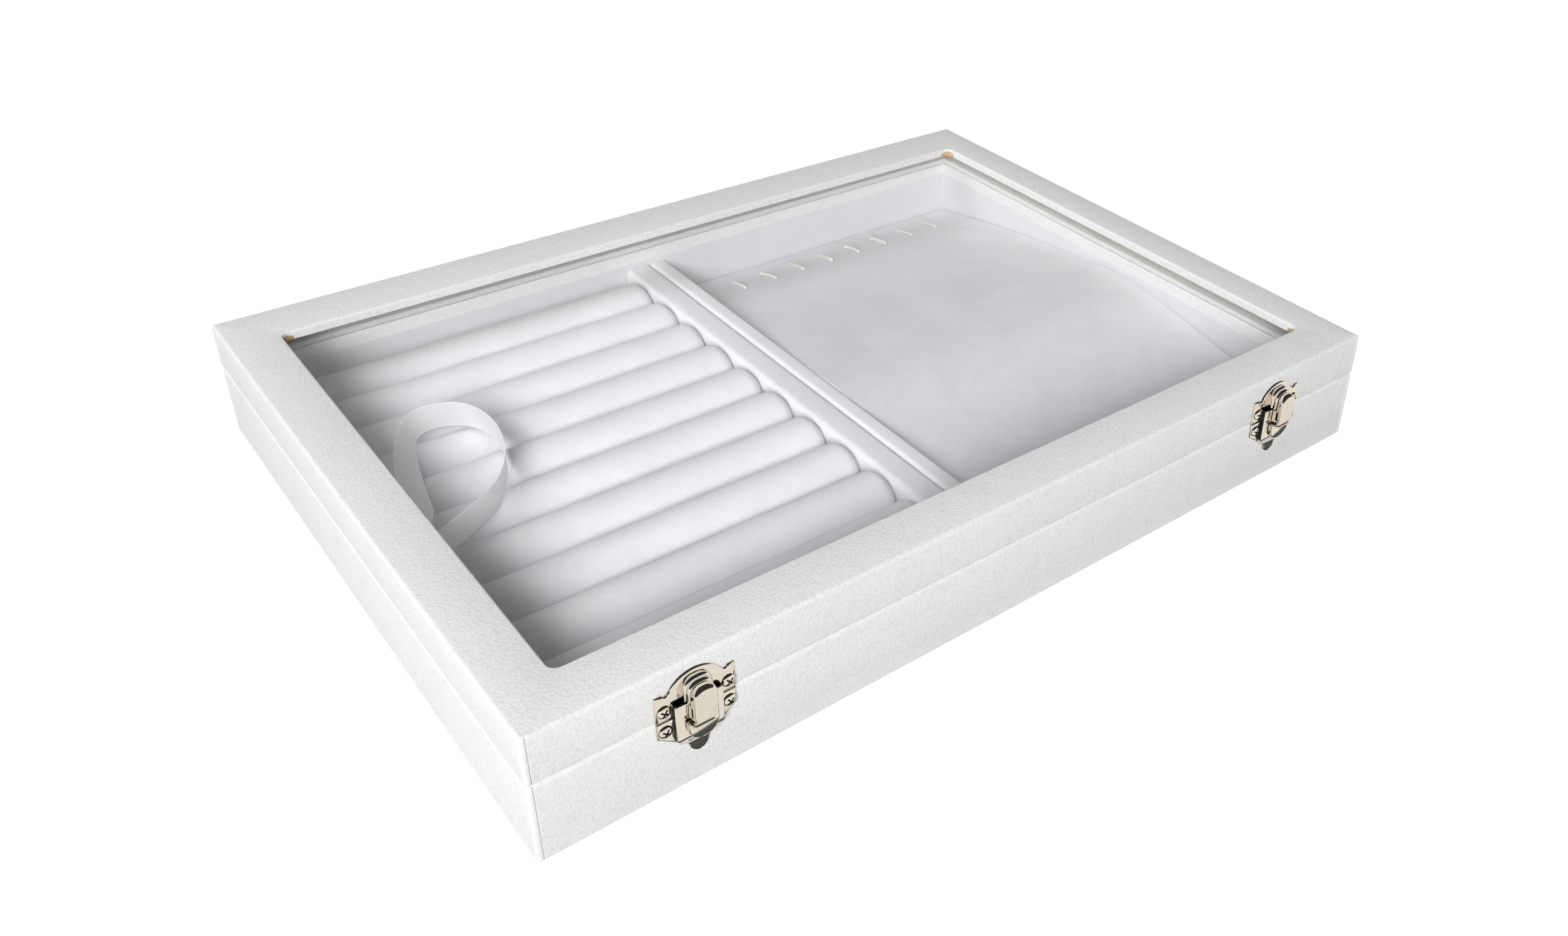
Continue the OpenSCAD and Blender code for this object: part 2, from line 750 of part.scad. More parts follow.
// The hook: a folded box, open at the back and below, whose round top bears on the lid's scoop
module catch_hook(side) {
    color(nickel) placed() at_catch(side) difference() {
        intersection() {
            side_view(hook_half_w) hook_profile();
            front_view(0, hook_out) arched_outline(hook_half_w, hook_low, hook_top, 2.4);
        }
        intersection() {
            side_view(hook_half_w - hook_t) hook_cavity();
            front_view(-cut, hook_out) arched_outline(hook_half_w - hook_t, hook_low - cut,
                                                      hook_top - hook_t, 1.8);
        }
        pivot_pin(hook_pivot, hook_pin_r + fit, 5);
    }
}

scoop_face = scoop_out + moving_gap;
hook_bend = 2.1;

module hook_profile() {
    translate([-hook_out, hook_low]) square([hook_out - tab_back, scoop_low - 0.5 - hook_low]);
    translate([-hook_out, hook_low]) square([hook_out - scoop_face, hook_top - hook_bend - hook_low]);
    intersection() {
        translate([hook_bend - hook_out, hook_top - hook_bend]) circle(r=hook_bend);
        translate([-hook_out, hook_low]) square([hook_bend, hook_top - hook_low]);
    }
    translate([hook_bend - hook_out, hook_top - 2 * hook_bend])
        square([hook_out - scoop_face - hook_bend, 2 * hook_bend]);
}

module hook_cavity() {
    translate([hook_t - hook_out, hook_low - cut]) square([hook_out, hook_top - hook_bend - hook_low]);
}

module catch_lid_screws() {
    color(nickel) placed() catch_screws_at(catch_screw_up) screw(plate_t);
}

module catch_base_screws() {
    color(nickel) placed() catch_screws_at(-catch_screw_down) screw(plate_t);
}

// Hinges. In these modules the X axis is the pin's axis and the case is towards -y

knuckle_gap = 0.15;
knuckle_len = (hinge_w - 4 * knuckle_gap) / 5;

// Knuckles are numbered 0 to 4 from the left
module knuckles(numbers) {
    for (i = numbers) translate([-hinge_w / 2 + i * (knuckle_len + knuckle_gap), 0, 0])
        rotate([0, 90, 0]) cylinder(r=knuckle_r, h=knuckle_len);
}

// A leaf: way is 1 for the lid's, above the axis, and -1 for the base's
module leaf(way, numbers) {
    back = case_d - hinge_y;
    clear = knuckle_r + 0.4;
    difference() {
        union() {
            translate([-hinge_w / 2, back, way > 0 ? clear : -leaf_h])
                cube([hinge_w, leaf_t, leaf_h - clear]);
            for (i = numbers)
                translate([-hinge_w / 2 + i * (knuckle_len + knuckle_gap), back,
                           way > 0 ? split_gap / 2 : -clear - cut])
                    cube([knuckle_len, leaf_t, clear + cut - split_gap / 2]);
            knuckles(numbers);
        }
        rotate([0, 90, 0]) cylinder(r=hinge_pin_r + running_gap, h=hinge_w + 2 * cut, center=true);
        for (x = [-hinge_w / 3.6, hinge_w / 3.6]) translate([x, back, way * leaf_screw_z])
            rotate([0, 0, 180]) screw_hole(2 * leaf_t);
    }
}

module hinge_base_leaf(side) {
    color(nickel) placed() at_hinge(side) leaf(-1, [0, 2, 4]);
}

module hinge_lid_leaf(side) {
    color(nickel) placed() at_hinge(side) leaf(1, [1, 3]);
}

module hinge_pin(side) {
    color(nickel) placed() at_hinge(side) rotate([0, 90, 0]) {
        cylinder(r=hinge_pin_r, h=hinge_w + 0.4, center=true);
        for (end = [-1, 1]) translate([0, 0, end * (hinge_w / 2 + 0.4)])
            cylinder(r=hinge_pin_r + 0.4, h=0.5, center=true);
    }
}

module hinge_base_screws() {
    color(nickel) placed() hinge_screws_at(-leaf_screw_z) screw(leaf_t);
}

module hinge_lid_screws() {
    color(nickel) placed() hinge_screws_at(leaf_screw_z) screw(leaf_t);
}

bottom_paper();
base_floor();
base_wall_front();
base_wall_back();
base_wall_left();
base_wall_right();
base_cover();
base_lining();
ring_tray_board();
tray_end_bar();
divider();
necklace_foam();
necklace_board();
necklace_loops();
for (i = [1:roll_count]) ring_roll(i);
lid_wall_front();
lid_wall_back();
lid_wall_left();
lid_wall_right();
lid_frame_board();
lid_cover();
glass_pane();
lid_lining();
lid_stay_ribbon();
for (side = SIDES) {
    catch_lid_plate(side);
    catch_base_plate(side);
    catch_lever(side);
    catch_hook(side);
    catch_lever_pin(side);
    catch_hook_pin(side);
    hinge_base_leaf(side);
    hinge_lid_leaf(side);
    hinge_pin(side);
}
catch_lid_screws();
catch_base_screws();
hinge_base_screws();
hinge_lid_screws();
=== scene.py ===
from math import atan2, cos, pi, radians, sin

import bmesh
import bpy
from mathutils import Matrix, Vector, noise


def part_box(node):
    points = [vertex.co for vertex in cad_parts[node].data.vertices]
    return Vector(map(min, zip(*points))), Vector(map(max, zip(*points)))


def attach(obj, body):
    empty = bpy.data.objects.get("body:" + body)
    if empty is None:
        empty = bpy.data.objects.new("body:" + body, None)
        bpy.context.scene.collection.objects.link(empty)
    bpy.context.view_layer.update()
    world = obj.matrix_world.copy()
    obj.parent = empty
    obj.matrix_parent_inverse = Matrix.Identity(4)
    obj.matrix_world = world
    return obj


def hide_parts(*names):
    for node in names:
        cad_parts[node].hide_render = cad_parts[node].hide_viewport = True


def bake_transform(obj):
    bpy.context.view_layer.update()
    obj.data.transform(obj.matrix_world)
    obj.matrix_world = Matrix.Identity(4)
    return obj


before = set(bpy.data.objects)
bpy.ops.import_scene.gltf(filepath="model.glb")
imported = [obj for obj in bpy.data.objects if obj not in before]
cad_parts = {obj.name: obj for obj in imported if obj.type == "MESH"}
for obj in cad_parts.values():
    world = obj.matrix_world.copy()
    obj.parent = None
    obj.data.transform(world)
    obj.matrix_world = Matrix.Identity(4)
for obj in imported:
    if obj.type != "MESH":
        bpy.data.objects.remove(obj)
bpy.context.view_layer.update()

MM = 0.001

# Studio. A white table, a soft lamp in front of the case on the left, a weaker one behind it, and the
# photograph's camera, which was found by fitting the edges of the case. The plated catches mirror a white
# room that is dark in front and above, and a dark card at the foot of the case, which is painted shade.

FOCAL_PX, PHOTO_W, PHOTO_H = 2217.36, 2485, 1484
AXIS_PX = (1561.507, 580.271)
CAMERA_AZIMUTH, CAMERA_ELEVATION, CAMERA_ROLL = radians(-42.238), radians(31.313), radians(3.397)
CAMERA_DISTANCE, CAMERA_TARGET = 608.273 * MM, Vector((90.521, -2.009, 0)) * MM
LAMP_DISTANCE, TABLE_HALF = 2.4, 6
SOFT_LIGHT, DARK_OF_ROOM, TABLE_WHITE, WHITE_SHARE = 0.14, 0.04, 1.1, 0.9
FOOT_CARD = (-185, 185, -143, -131)


def linear(code, alpha=1.0):
    """An sRGB hex colour as the linear colour that a shader takes."""
    channels = [int(code[i:i + 2], 16) / 255 for i in (1, 3, 5)]
    return [c / 12.92 if c <= 0.04045 else ((c + 0.055) / 1.055) ** 2.4 for c in channels] + [alpha]


def add(tree, kind, inputs=None, **settings):
    """Adds a node. inputs maps a socket's name or number to a value, or to what feeds it."""
    node = tree.nodes.new(kind)
    for name, value in settings.items():
        setattr(node, name, value)
    for key, value in (inputs or {}).items():
        if isinstance(value, bpy.types.Node):
            value = next(socket for socket in value.outputs if socket.enabled)
        if isinstance(value, bpy.types.NodeSocket):
            tree.links.new(value, node.inputs[key])
        else:
            node.inputs[key].default_value = value
    return node


def bare_material(name):
    """An empty material and its tree."""
    material = bpy.data.materials.new(name)
    material.use_nodes = True
    material.node_tree.nodes.clear()
    return material, material.node_tree


def surface(material, shader):
    add(material.node_tree, "ShaderNodeOutputMaterial", {"Surface": shader})
    return material


def link(obj):
    bpy.context.scene.collection.objects.link(obj)
    return obj


def looking(azimuth, elevation):
    """The direction from the case towards a viewer there. Azimuth 0 is in front of the case."""
    return Vector((sin(azimuth) * cos(elevation), -cos(azimuth) * cos(elevation), sin(elevation)))


def studio_camera():
    back = looking(CAMERA_AZIMUTH, CAMERA_ELEVATION)
    level = (-back).cross(Vector((0, 0, 1))).normalized()
    up = level.cross(-back)
    right = level * cos(CAMERA_ROLL) + up * sin(CAMERA_ROLL)
    up = up * cos(CAMERA_ROLL) - level * sin(CAMERA_ROLL)
    data = bpy.data.cameras.new("camera")
    data.sensor_width = 36
    data.lens = FOCAL_PX * data.sensor_width / PHOTO_W
    data.shift_x = -(AXIS_PX[0] - PHOTO_W / 2) / PHOTO_W
    data.shift_y = (AXIS_PX[1] - PHOTO_H / 2) / PHOTO_W
    data.clip_start, data.clip_end = 0.01, 20
    camera = link(bpy.data.objects.new("camera", data))
    camera.matrix_world = Matrix((right, up, back)).transposed().to_4x4()
    camera.location = CAMERA_TARGET + back * CAMERA_DISTANCE
    bpy.context.scene.camera = camera


def softbox(name, azimuth, elevation, size, watts):
    """A square white lamp that faces the case. The catches and the glass don't mirror it."""
    data = bpy.data.lights.new(name, "AREA")
    data.shape, data.size, data.energy = "SQUARE", size, watts
    lamp = link(bpy.data.objects.new(name, data))
    away = looking(radians(azimuth), radians(elevation))
    lamp.location = away * LAMP_DISTANCE
    lamp.rotation_euler = away.to_track_quat("Z", "Y").to_euler()
    lamp.visible_glossy = False


def foot_card():
    """A dark sheet on the table that only mirrors see, painted shade that stands for the unlit foot of the
    case and the room beside it.
    """
    x0, x1, y0, y1 = (side * MM for side in FOOT_CARD)
    mesh = bpy.data.meshes.new("card_foot")
    mesh.from_pydata([(x0, y0, MM), (x1, y0, MM), (x1, y1, MM), (x0, y1, MM)], [], [(0, 1, 2, 3)])
    material, tree = bare_material("painted_foot_shade_card")
    grey = add(tree, "ShaderNodeEmission", {"Color": linear("#54585C"), "Strength": 1.0})
    mesh.materials.append(surface(material, grey))
    card = link(bpy.data.objects.new("card_foot", mesh))
    card.visible_camera = card.visible_diffuse = card.visible_shadow = card.visible_transmission = False


def studio_world():
    """White for the camera and through the glass, faint as a light, and dark in part for what is mirrored."""
    world = bpy.data.worlds.new("studio")
    bpy.context.scene.world = world
    world.use_nodes = True
    tree = world.node_tree
    tree.nodes.clear()
    path = add(tree, "ShaderNodeLightPath")
    seen = path.outputs["Is Camera Ray"]
    for ray in ("Is Glossy Ray", "Is Transmission Ray"):
        seen = add(tree, "ShaderNodeMath", {0: seen, 1: path.outputs[ray]}, operation="MAXIMUM")
    white = add(tree, "ShaderNodeBackground", {"Color": linear("#FFFFFF"), "Strength": 1.0})
    soft = add(tree, "ShaderNodeBackground", {"Color": linear("#F7F8FA"), "Strength": SOFT_LIGHT})
    way = add(tree, "ShaderNodeSeparateXYZ", {0: add(tree, "ShaderNodeTexCoord").outputs["Generated"]})
    high = add(tree, "ShaderNodeMapRange", {"Value": way.outputs[2], "From Min": 0.14, "From Max": 0.3})
    ahead = add(tree, "ShaderNodeMapRange", {"Value": way.outputs[1], "From Min": 0.25, "From Max": 0.0})
    dark = add(tree, "ShaderNodeMath", {0: high, 1: ahead}, operation="MULTIPLY")
    level = add(tree, "ShaderNodeMapRange", {"Value": dark, "To Min": 1.0, "To Max": DARK_OF_ROOM})
    room = add(tree, "ShaderNodeBackground", {"Color": linear("#FFFFFF"), "Strength": level})
    mirrored = add(tree, "ShaderNodeMixShader", {0: path.outputs["Is Glossy Ray"], 1: white, 2: room})
    both = add(tree, "ShaderNodeMixShader", {0: seen, 1: soft, 2: mirrored})
    add(tree, "ShaderNodeOutputWorld", {"Surface": both})


def studio_table():
    """A white laminate. Its white is laid over its shading, so that the case's shadow stays."""
    mesh = bpy.data.meshes.new("table")
    corners = [(x * TABLE_HALF, y * TABLE_HALF, 0) for x, y in ((-1, -1), (1, -1), (1, 1), (-1, 1))]
    mesh.from_pydata(corners, [], [(0, 1, 2, 3)])
    table = link(bpy.data.objects.new("table", mesh))
    material, tree = bare_material("white_laminate_table")
    lit = add(tree, "ShaderNodeBsdfDiffuse", {"Color": linear("#B4B4B4")})
    white = add(tree, "ShaderNodeEmission", {"Color": linear("#FFFFFF"), "Strength": TABLE_WHITE})
    path = add(tree, "ShaderNodeLightPath")
    seen = add(tree, "ShaderNodeMath", {0: path.outputs["Is Camera Ray"], 1: path.outputs["Is Glossy Ray"]},
               operation="MAXIMUM")
    share = add(tree, "ShaderNodeMath", {0: seen, 1: WHITE_SHARE}, operation="MULTIPLY")
    mesh.materials.append(surface(material, add(tree, "ShaderNodeMixShader", {0: share, 1: lit, 2: white})))


bpy.context.scene.view_settings.view_transform = "Standard"
studio_camera()
studio_world()
studio_table()
foot_card()
softbox("lamp_front_left", -42, 28.5, 0.95, 57.0)
softbox("lamp_back_left", -120, 46, 1.4, 18.0)

# Underside. The floor board is covered below by a sheet of plain lining paper, glued over the turned-in
# edges of the skin. It is uncoated, so it is quite rough, with a faint cloudy formation.

def lay(node, material):
    """Gives a CAD node its finish."""
    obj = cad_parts[node]
    obj.data.materials.clear()
    obj.data.materials.append(material)


def object_coordinates(tree):
    return add(tree, "ShaderNodeTexCoord").outputs["Object"]


def per_mm(size):
    """The scale of a pattern whose cells are size millimetres across, on coordinates in metres."""
    return 1 / (size * MM)


def uncoated_paper():
    """Loose fibres make it dull, and their uneven spread makes it faintly cloudy."""
    cloud_mm, fibre_mm = 9, 0.4
    material, tree = bare_material("uncoated_lining_paper")
    at = object_coordinates(tree)
    cloud = add(tree, "ShaderNodeTexNoise", {"Vector": at, "Scale": per_mm(cloud_mm), "Detail": 4})
    fibre = add(tree, "ShaderNodeTexNoise", {"Vector": at, "Scale": per_mm(fibre_mm), "Detail": 3})
    colour = add(tree, "ShaderNodeMix", {"Factor": cloud, "A": linear("#D3CFC7"), "B": linear("#DEDAD3")},
                 data_type="RGBA")
    bump = add(tree, "ShaderNodeBump", {"Height": fibre, "Strength": 0.3, "Distance": 0.05 * MM})
    return surface(material, add(tree, "ShaderNodeBsdfPrincipled", {
        "Base Color": colour, "Roughness": 0.9, "Normal": bump}))


lay("bottom_paper", uncoated_paper())

# Boards. The floor, the four walls and the frame of the lid are medium-density fibreboard, sawn and
# glued at butt joints. Sawn fibreboard is matt and tan, with short fibres and darker resin specks.


def raw_fibreboard():
    """Short sawn fibres make the tan mottled and matt, and specks of resin dot it."""
    fibre_mm, speck_mm = 0.7, 1.6
    material, tree = bare_material("sawn_fibreboard")
    at = object_coordinates(tree)
    fibre = add(tree, "ShaderNodeTexNoise", {"Vector": at, "Scale": per_mm(fibre_mm), "Detail": 5})
    speck = add(tree, "ShaderNodeTexVoronoi", {"Vector": at, "Scale": per_mm(speck_mm)})
    dark = add(tree, "ShaderNodeMapRange", {"Value": speck, "From Min": 0.08, "From Max": 0.2})
    tan = add(tree, "ShaderNodeMix", {"Factor": fibre, "A": linear("#B89A74"), "B": linear("#D3B896")},
              data_type="RGBA")
    colour = add(tree, "ShaderNodeMix", {"Factor": dark, "A": linear("#8E6C44"), "B": tan}, data_type="RGBA")
    bump = add(tree, "ShaderNodeBump", {"Height": fibre, "Strength": 0.4, "Distance": 0.1 * MM})
    return surface(material, add(tree, "ShaderNodeBsdfPrincipled", {
        "Base Color": colour, "Roughness": 0.85, "Normal": bump}))


fibreboard = raw_fibreboard()
for part in ("base_floor", "base_wall_front", "base_wall_back", "base_wall_left", "base_wall_right",
             "lid_wall_front", "lid_wall_back", "lid_wall_left", "lid_wall_right"):
    lay(part, fibreboard)

# Skin of the base. White leatherette, a vinyl film embossed with a fine pebble grain, is wrapped round
# the walls, turned in over the rim and under the floor, and butted at the front and back corners,
# where a fine dark seam shows. It goes round the board's edges with a radius of about a millimetre.

CASE_LOW, CASE_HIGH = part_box("base_cover")
LID_LOW, LID_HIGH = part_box("lid_cover")
SKIN_T, WALL_T, LINING_T = 0.5 * MM, 4.5 * MM, 1.0 * MM
CORNER_R, EDGE_R, RIM_R = 1.2 * MM, 1.3 * MM, 1.0 * MM
TURN_UNDER, TURN_IN, LID_TURN_IN = 12 * MM, 5 * MM, 3 * MM
SEAM_OFF, SEAM_W, SEAM_DEPTH = 0.5 * MM, 0.5 * MM, 0.45 * MM
INNER = SKIN_T + WALL_T


def rectangle(inset):
    """The faces of the case, set in: left, right, front and back."""
    return (CASE_LOW.x + inset, CASE_HIGH.x - inset, CASE_LOW.y + inset, CASE_HIGH.y - inset)


def ring(sides, radius, z, seam=0.0, steps=5):
    """Points round a rectangle with round corners. A seam is a groove in a face beside a corner."""
    x0, x1, y0, y1 = sides
    points = []
    for cx, cy, start, after in (
            (x0 + radius, y0 + radius, 180, True), (x1 - radius, y0 + radius, 270, False),
            (x1 - radius, y1 - radius, 0, True), (x0 + radius, y1 - radius, 90, False)):
        turns = [radians(start + 90 * i / steps) for i in range(steps + 1)]
        corner = [(cx + radius * cos(turn), cy + radius * sin(turn), z) for turn in turns]
        inward = 1 if cx < 0 else -1
        edge, deeper = (y0, seam) if cy < 0 else (y1, -seam)
        groove = [(cx + inward * (SEAM_OFF + SEAM_W * share), edge + deeper * depth, z)
                  for share, depth in ((0, 0), (0.3, 1), (0.7, 1), (1, 0))]
        points += corner + groove if after else groove[::-1] + corner
    return points


def rounded(corners, steps=4):
    """A closed right-angled outline of (place, z, radius) corners, rounded, as (place, z) points."""
    out = []
    for i, (a, z, r) in enumerate(corners):
        here = Vector((a, z))
        before, after = Vector(corners[i - 1][:2]), Vector(corners[(i + 1) % len(corners)][:2])
        if not r:
            out.append((a, z))
            continue
        u, v = (before - here).normalized() * r, (after - here).normalized() * r
        for k in range(steps + 1):
            turn = pi / 2 * k / steps
            out.append(tuple(here + u + v - v * cos(turn) - u * sin(turn)))
    return out


def built(name, rings, material, joined=False, smooth=40):
    """A mesh over closed rings of points, joined into a loop or closed by a cap at each end."""
    form = bmesh.new()
    rows = [[form.verts.new(p) for p in row] for row in rings]
    pairs = list(zip(rows, rows[1:])) + ([(rows[-1], rows[0])] if joined else [])
    for a, b in pairs:
        for i in range(len(a)):
            form.faces.new((a[i - 1], a[i], b[i], b[i - 1]))
    if not joined:
        form.faces.new(rows[0])
        form.faces.new(rows[-1][::-1])
    bmesh.ops.recalc_face_normals(form, faces=form.faces)
    mesh = bpy.data.meshes.new(name)
    form.to_mesh(mesh)
    form.free()
    mesh.shade_smooth()
    mesh.set_sharp_from_angle(angle=radians(smooth))
    mesh.materials.append(material)
    return link(bpy.data.objects.new(name, mesh))


def fitted(obj, body, slot, *nodes):
    """A finished piece rides on its body and stands for its CAD nodes."""
    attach(obj, body)
    if nodes:
        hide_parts(*nodes)
    return obj


def embossed_leatherette():
    """A soft-shining film. Its pebbles catch the light in flecks, and it waves a little over the board."""
    # The real pebbles are about 0.6 mm across, and are drawn a little coarser so that they show.
    pebble_mm, bend_mm, wave_mm, tint_mm = 0.95, 1.3, 6, 30
    material, tree = bare_material("embossed_vinyl_leatherette")
    at = object_coordinates(tree)
    bent = add(tree, "ShaderNodeTexNoise", {"Vector": at, "Scale": per_mm(bend_mm), "Detail": 2})
    push = add(tree, "ShaderNodeVectorMath", {0: bent.outputs["Color"], "Scale": 0.7 * MM}, operation="SCALE")
    moved = add(tree, "ShaderNodeVectorMath", {0: at, 1: push}, operation="ADD")
    pebble = add(tree, "ShaderNodeTexVoronoi", {"Vector": moved, "Scale": per_mm(pebble_mm),
                                                "Smoothness": 0.6}, feature="SMOOTH_F1")
    wave = add(tree, "ShaderNodeTexNoise", {"Vector": at, "Scale": per_mm(wave_mm), "Detail": 3})
    tint = add(tree, "ShaderNodeTexNoise", {"Vector": at, "Scale": per_mm(tint_mm), "Detail": 2})
    high = add(tree, "ShaderNodeMath", {0: pebble, 1: -0.8, 2: wave}, operation="MULTIPLY_ADD")
    white = add(tree, "ShaderNodeMix", {"Factor": tint, "A": linear("#E9E9E9"), "B": linear("#EFEFEF")},
                data_type="RGBA")
    # The grooves between the pebbles are painted darker, as shade.
    groove_shade = add(tree, "ShaderNodeMapRange", {"Value": pebble, "From Min": 0.35, "From Max": 0.8,
                                           "To Min": 0.0, "To Max": 0.35})
    colour = add(tree, "ShaderNodeMix", {"Factor": groove_shade, "A": white, "B": linear("#CFCFCE")}, data_type="RGBA")
    rough = add(tree, "ShaderNodeMapRange", {"Value": wave, "To Min": 0.42, "To Max": 0.6})
    bump = add(tree, "ShaderNodeBump", {"Height": high, "Strength": 0.75, "Distance": 0.16 * MM})
    return surface(material, add(tree, "ShaderNodeBsdfPrincipled", {
        "Base Color": colour, "Roughness": rough, "Specular IOR Level": 0.4, "Normal": bump}))


def corner_radius(inset):
    return max(CORNER_R - inset, 0.2 * MM)


leatherette = embossed_leatherette()
low, rim = CASE_LOW.z, CASE_HIGH.z
outline = rounded([
    (TURN_UNDER, low, 0), (0, low, RIM_R), (0, rim, EDGE_R), (INNER + SKIN_T, rim, RIM_R * 0.8),
    (INNER + SKIN_T, rim - TURN_IN, 0), (INNER, rim - TURN_IN, 0), (INNER, rim - SKIN_T, 0.3 * MM),
    (SKIN_T, rim - SKIN_T, 0.7 * MM), (SKIN_T, low + SKIN_T, 0.4 * MM), (TURN_UNDER, low + SKIN_T, 0)])
skin = built("base_skin", [ring(rectangle(a), corner_radius(a), z, SEAM_DEPTH if a < 0.3 * MM else 0)
                           for a, z in outline], leatherette, joined=True)
fitted(skin, "base", "leatherette", "base_cover")

# Wall lining of the base. Four strips of short white velvet on card are glued inside the walls, up to
# the turned-in skin. The pile makes it very matt, bright at grazing angles and slightly mottled.

FLOOR_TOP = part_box("base_floor")[1].z


def short_velvet(name, pale, shade, nap_mm=14, pile_mm=0.7):
    """Pile scatters light at its tips, which is the sheen, and lies in drifts that show as soft mottling."""
    # Real tufts are finer than 0.7 mm, and are drawn coarser so that they show.
    material, tree = bare_material(name)
    at = object_coordinates(tree)
    nap = add(tree, "ShaderNodeTexNoise", {"Vector": at, "Scale": per_mm(nap_mm), "Detail": 3,
                                           "Distortion": 0.6})
    pile = add(tree, "ShaderNodeTexNoise", {"Vector": at, "Scale": per_mm(pile_mm), "Detail": 5,
                                            "Roughness": 0.8})
    both = add(tree, "ShaderNodeMix", {"Factor": 0.55, "A": nap, "B": pile})
    spread = add(tree, "ShaderNodeMapRange", {"Value": both, "From Min": 0.3, "From Max": 0.7})
    colour = add(tree, "ShaderNodeMix", {"Factor": spread, "A": linear(shade), "B": linear(pale)},
                 data_type="RGBA")
    bump = add(tree, "ShaderNodeBump", {"Height": pile, "Strength": 0.8, "Distance": 0.25 * MM})
    return surface(material, add(tree, "ShaderNodeBsdfPrincipled", {
        "Base Color": colour, "Roughness": 0.95, "Specular IOR Level": 0.2, "Sheen Weight": 0.35,
        "Sheen Roughness": 0.45, "Sheen Tint": linear("#F8F8FA"), "Normal": bump}))


def lining(name, z0, z1, material):
    outline = rounded([(INNER, z0, 0), (INNER + LINING_T, z0, 0), (INNER + LINING_T, z1, 0.4 * MM),
                       (INNER, z1, 0)])
    return built(name, [ring(rectangle(a), 0.3 * MM, z) for a, z in outline], material, joined=True)


# This copy of the velvet is painted greyer than the rolls' copy, as shade.
velvet = short_velvet("white_velvet_painted_greyer", "#E4E4E7", "#DADADE")
fitted(lining("base_wall_lining", FLOOR_TOP, rim - TURN_IN, velvet), "base", "velvet", "base_lining")

# Ring bay. Eleven foam rolls covered in the same velvet lie side by side on a covered board, glued along
# their flat undersides, and a ring is pushed down between two of them. The bar at their right ends is
# a foam strip under the same velvet.

roll_low, roll_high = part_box("ring_roll_1")
ROLL_R = (roll_high.y - roll_low.y) / 2
ROLL_END_R = 5.5 * MM
NODE_KINDS = {"Float": "NodeSocketFloat", "Int": "NodeSocketInt", "Vector": "NodeSocketVector"}


def node_tree(name, **inputs):
    """A geometry tree with named inputs. Returns the tree and its inputs."""
    tree = bpy.data.node_groups.new(name, "GeometryNodeTree")
    tree.interface.new_socket("Geometry", in_out="INPUT", socket_type="NodeSocketGeometry")
    tree.interface.new_socket("Geometry", in_out="OUTPUT", socket_type="NodeSocketGeometry")
    for label, kind in inputs.items():
        tree.interface.new_socket(label, in_out="INPUT", socket_type=NODE_KINDS[kind])
    given = add(tree, "NodeGroupInput")
    return tree, given.outputs


def end_tree(tree, geometry, material):
    plain = add(tree, "GeometryNodeRealizeInstances", {0: geometry})
    dressed = add(tree, "GeometryNodeSetMaterial", {"Geometry": plain, "Material": material})
    add(tree, "NodeGroupOutput", {0: dressed})
    return tree


def grown(name, tree, points=(), **inputs):
    """What a geometry tree makes, as a plain mesh. points are the vertices that it starts from."""
    mesh = bpy.data.meshes.new(name + "_start")
    mesh.from_pydata(points, [], [])
    start = link(bpy.data.objects.new(name + "_start", mesh))
    nodes = start.modifiers.new("nodes", "NODES")
    nodes.node_group = tree
    for item in tree.interface.items_tree:
        if item.in_out == "INPUT" and item.name in inputs:
            nodes[item.identifier] = inputs[item.name]
    made = bpy.data.meshes.new_from_object(start.evaluated_get(bpy.context.evaluated_depsgraph_get()))
    bpy.data.objects.remove(start)
    made.name = name
    return link(bpy.data.objects.new(name, made))


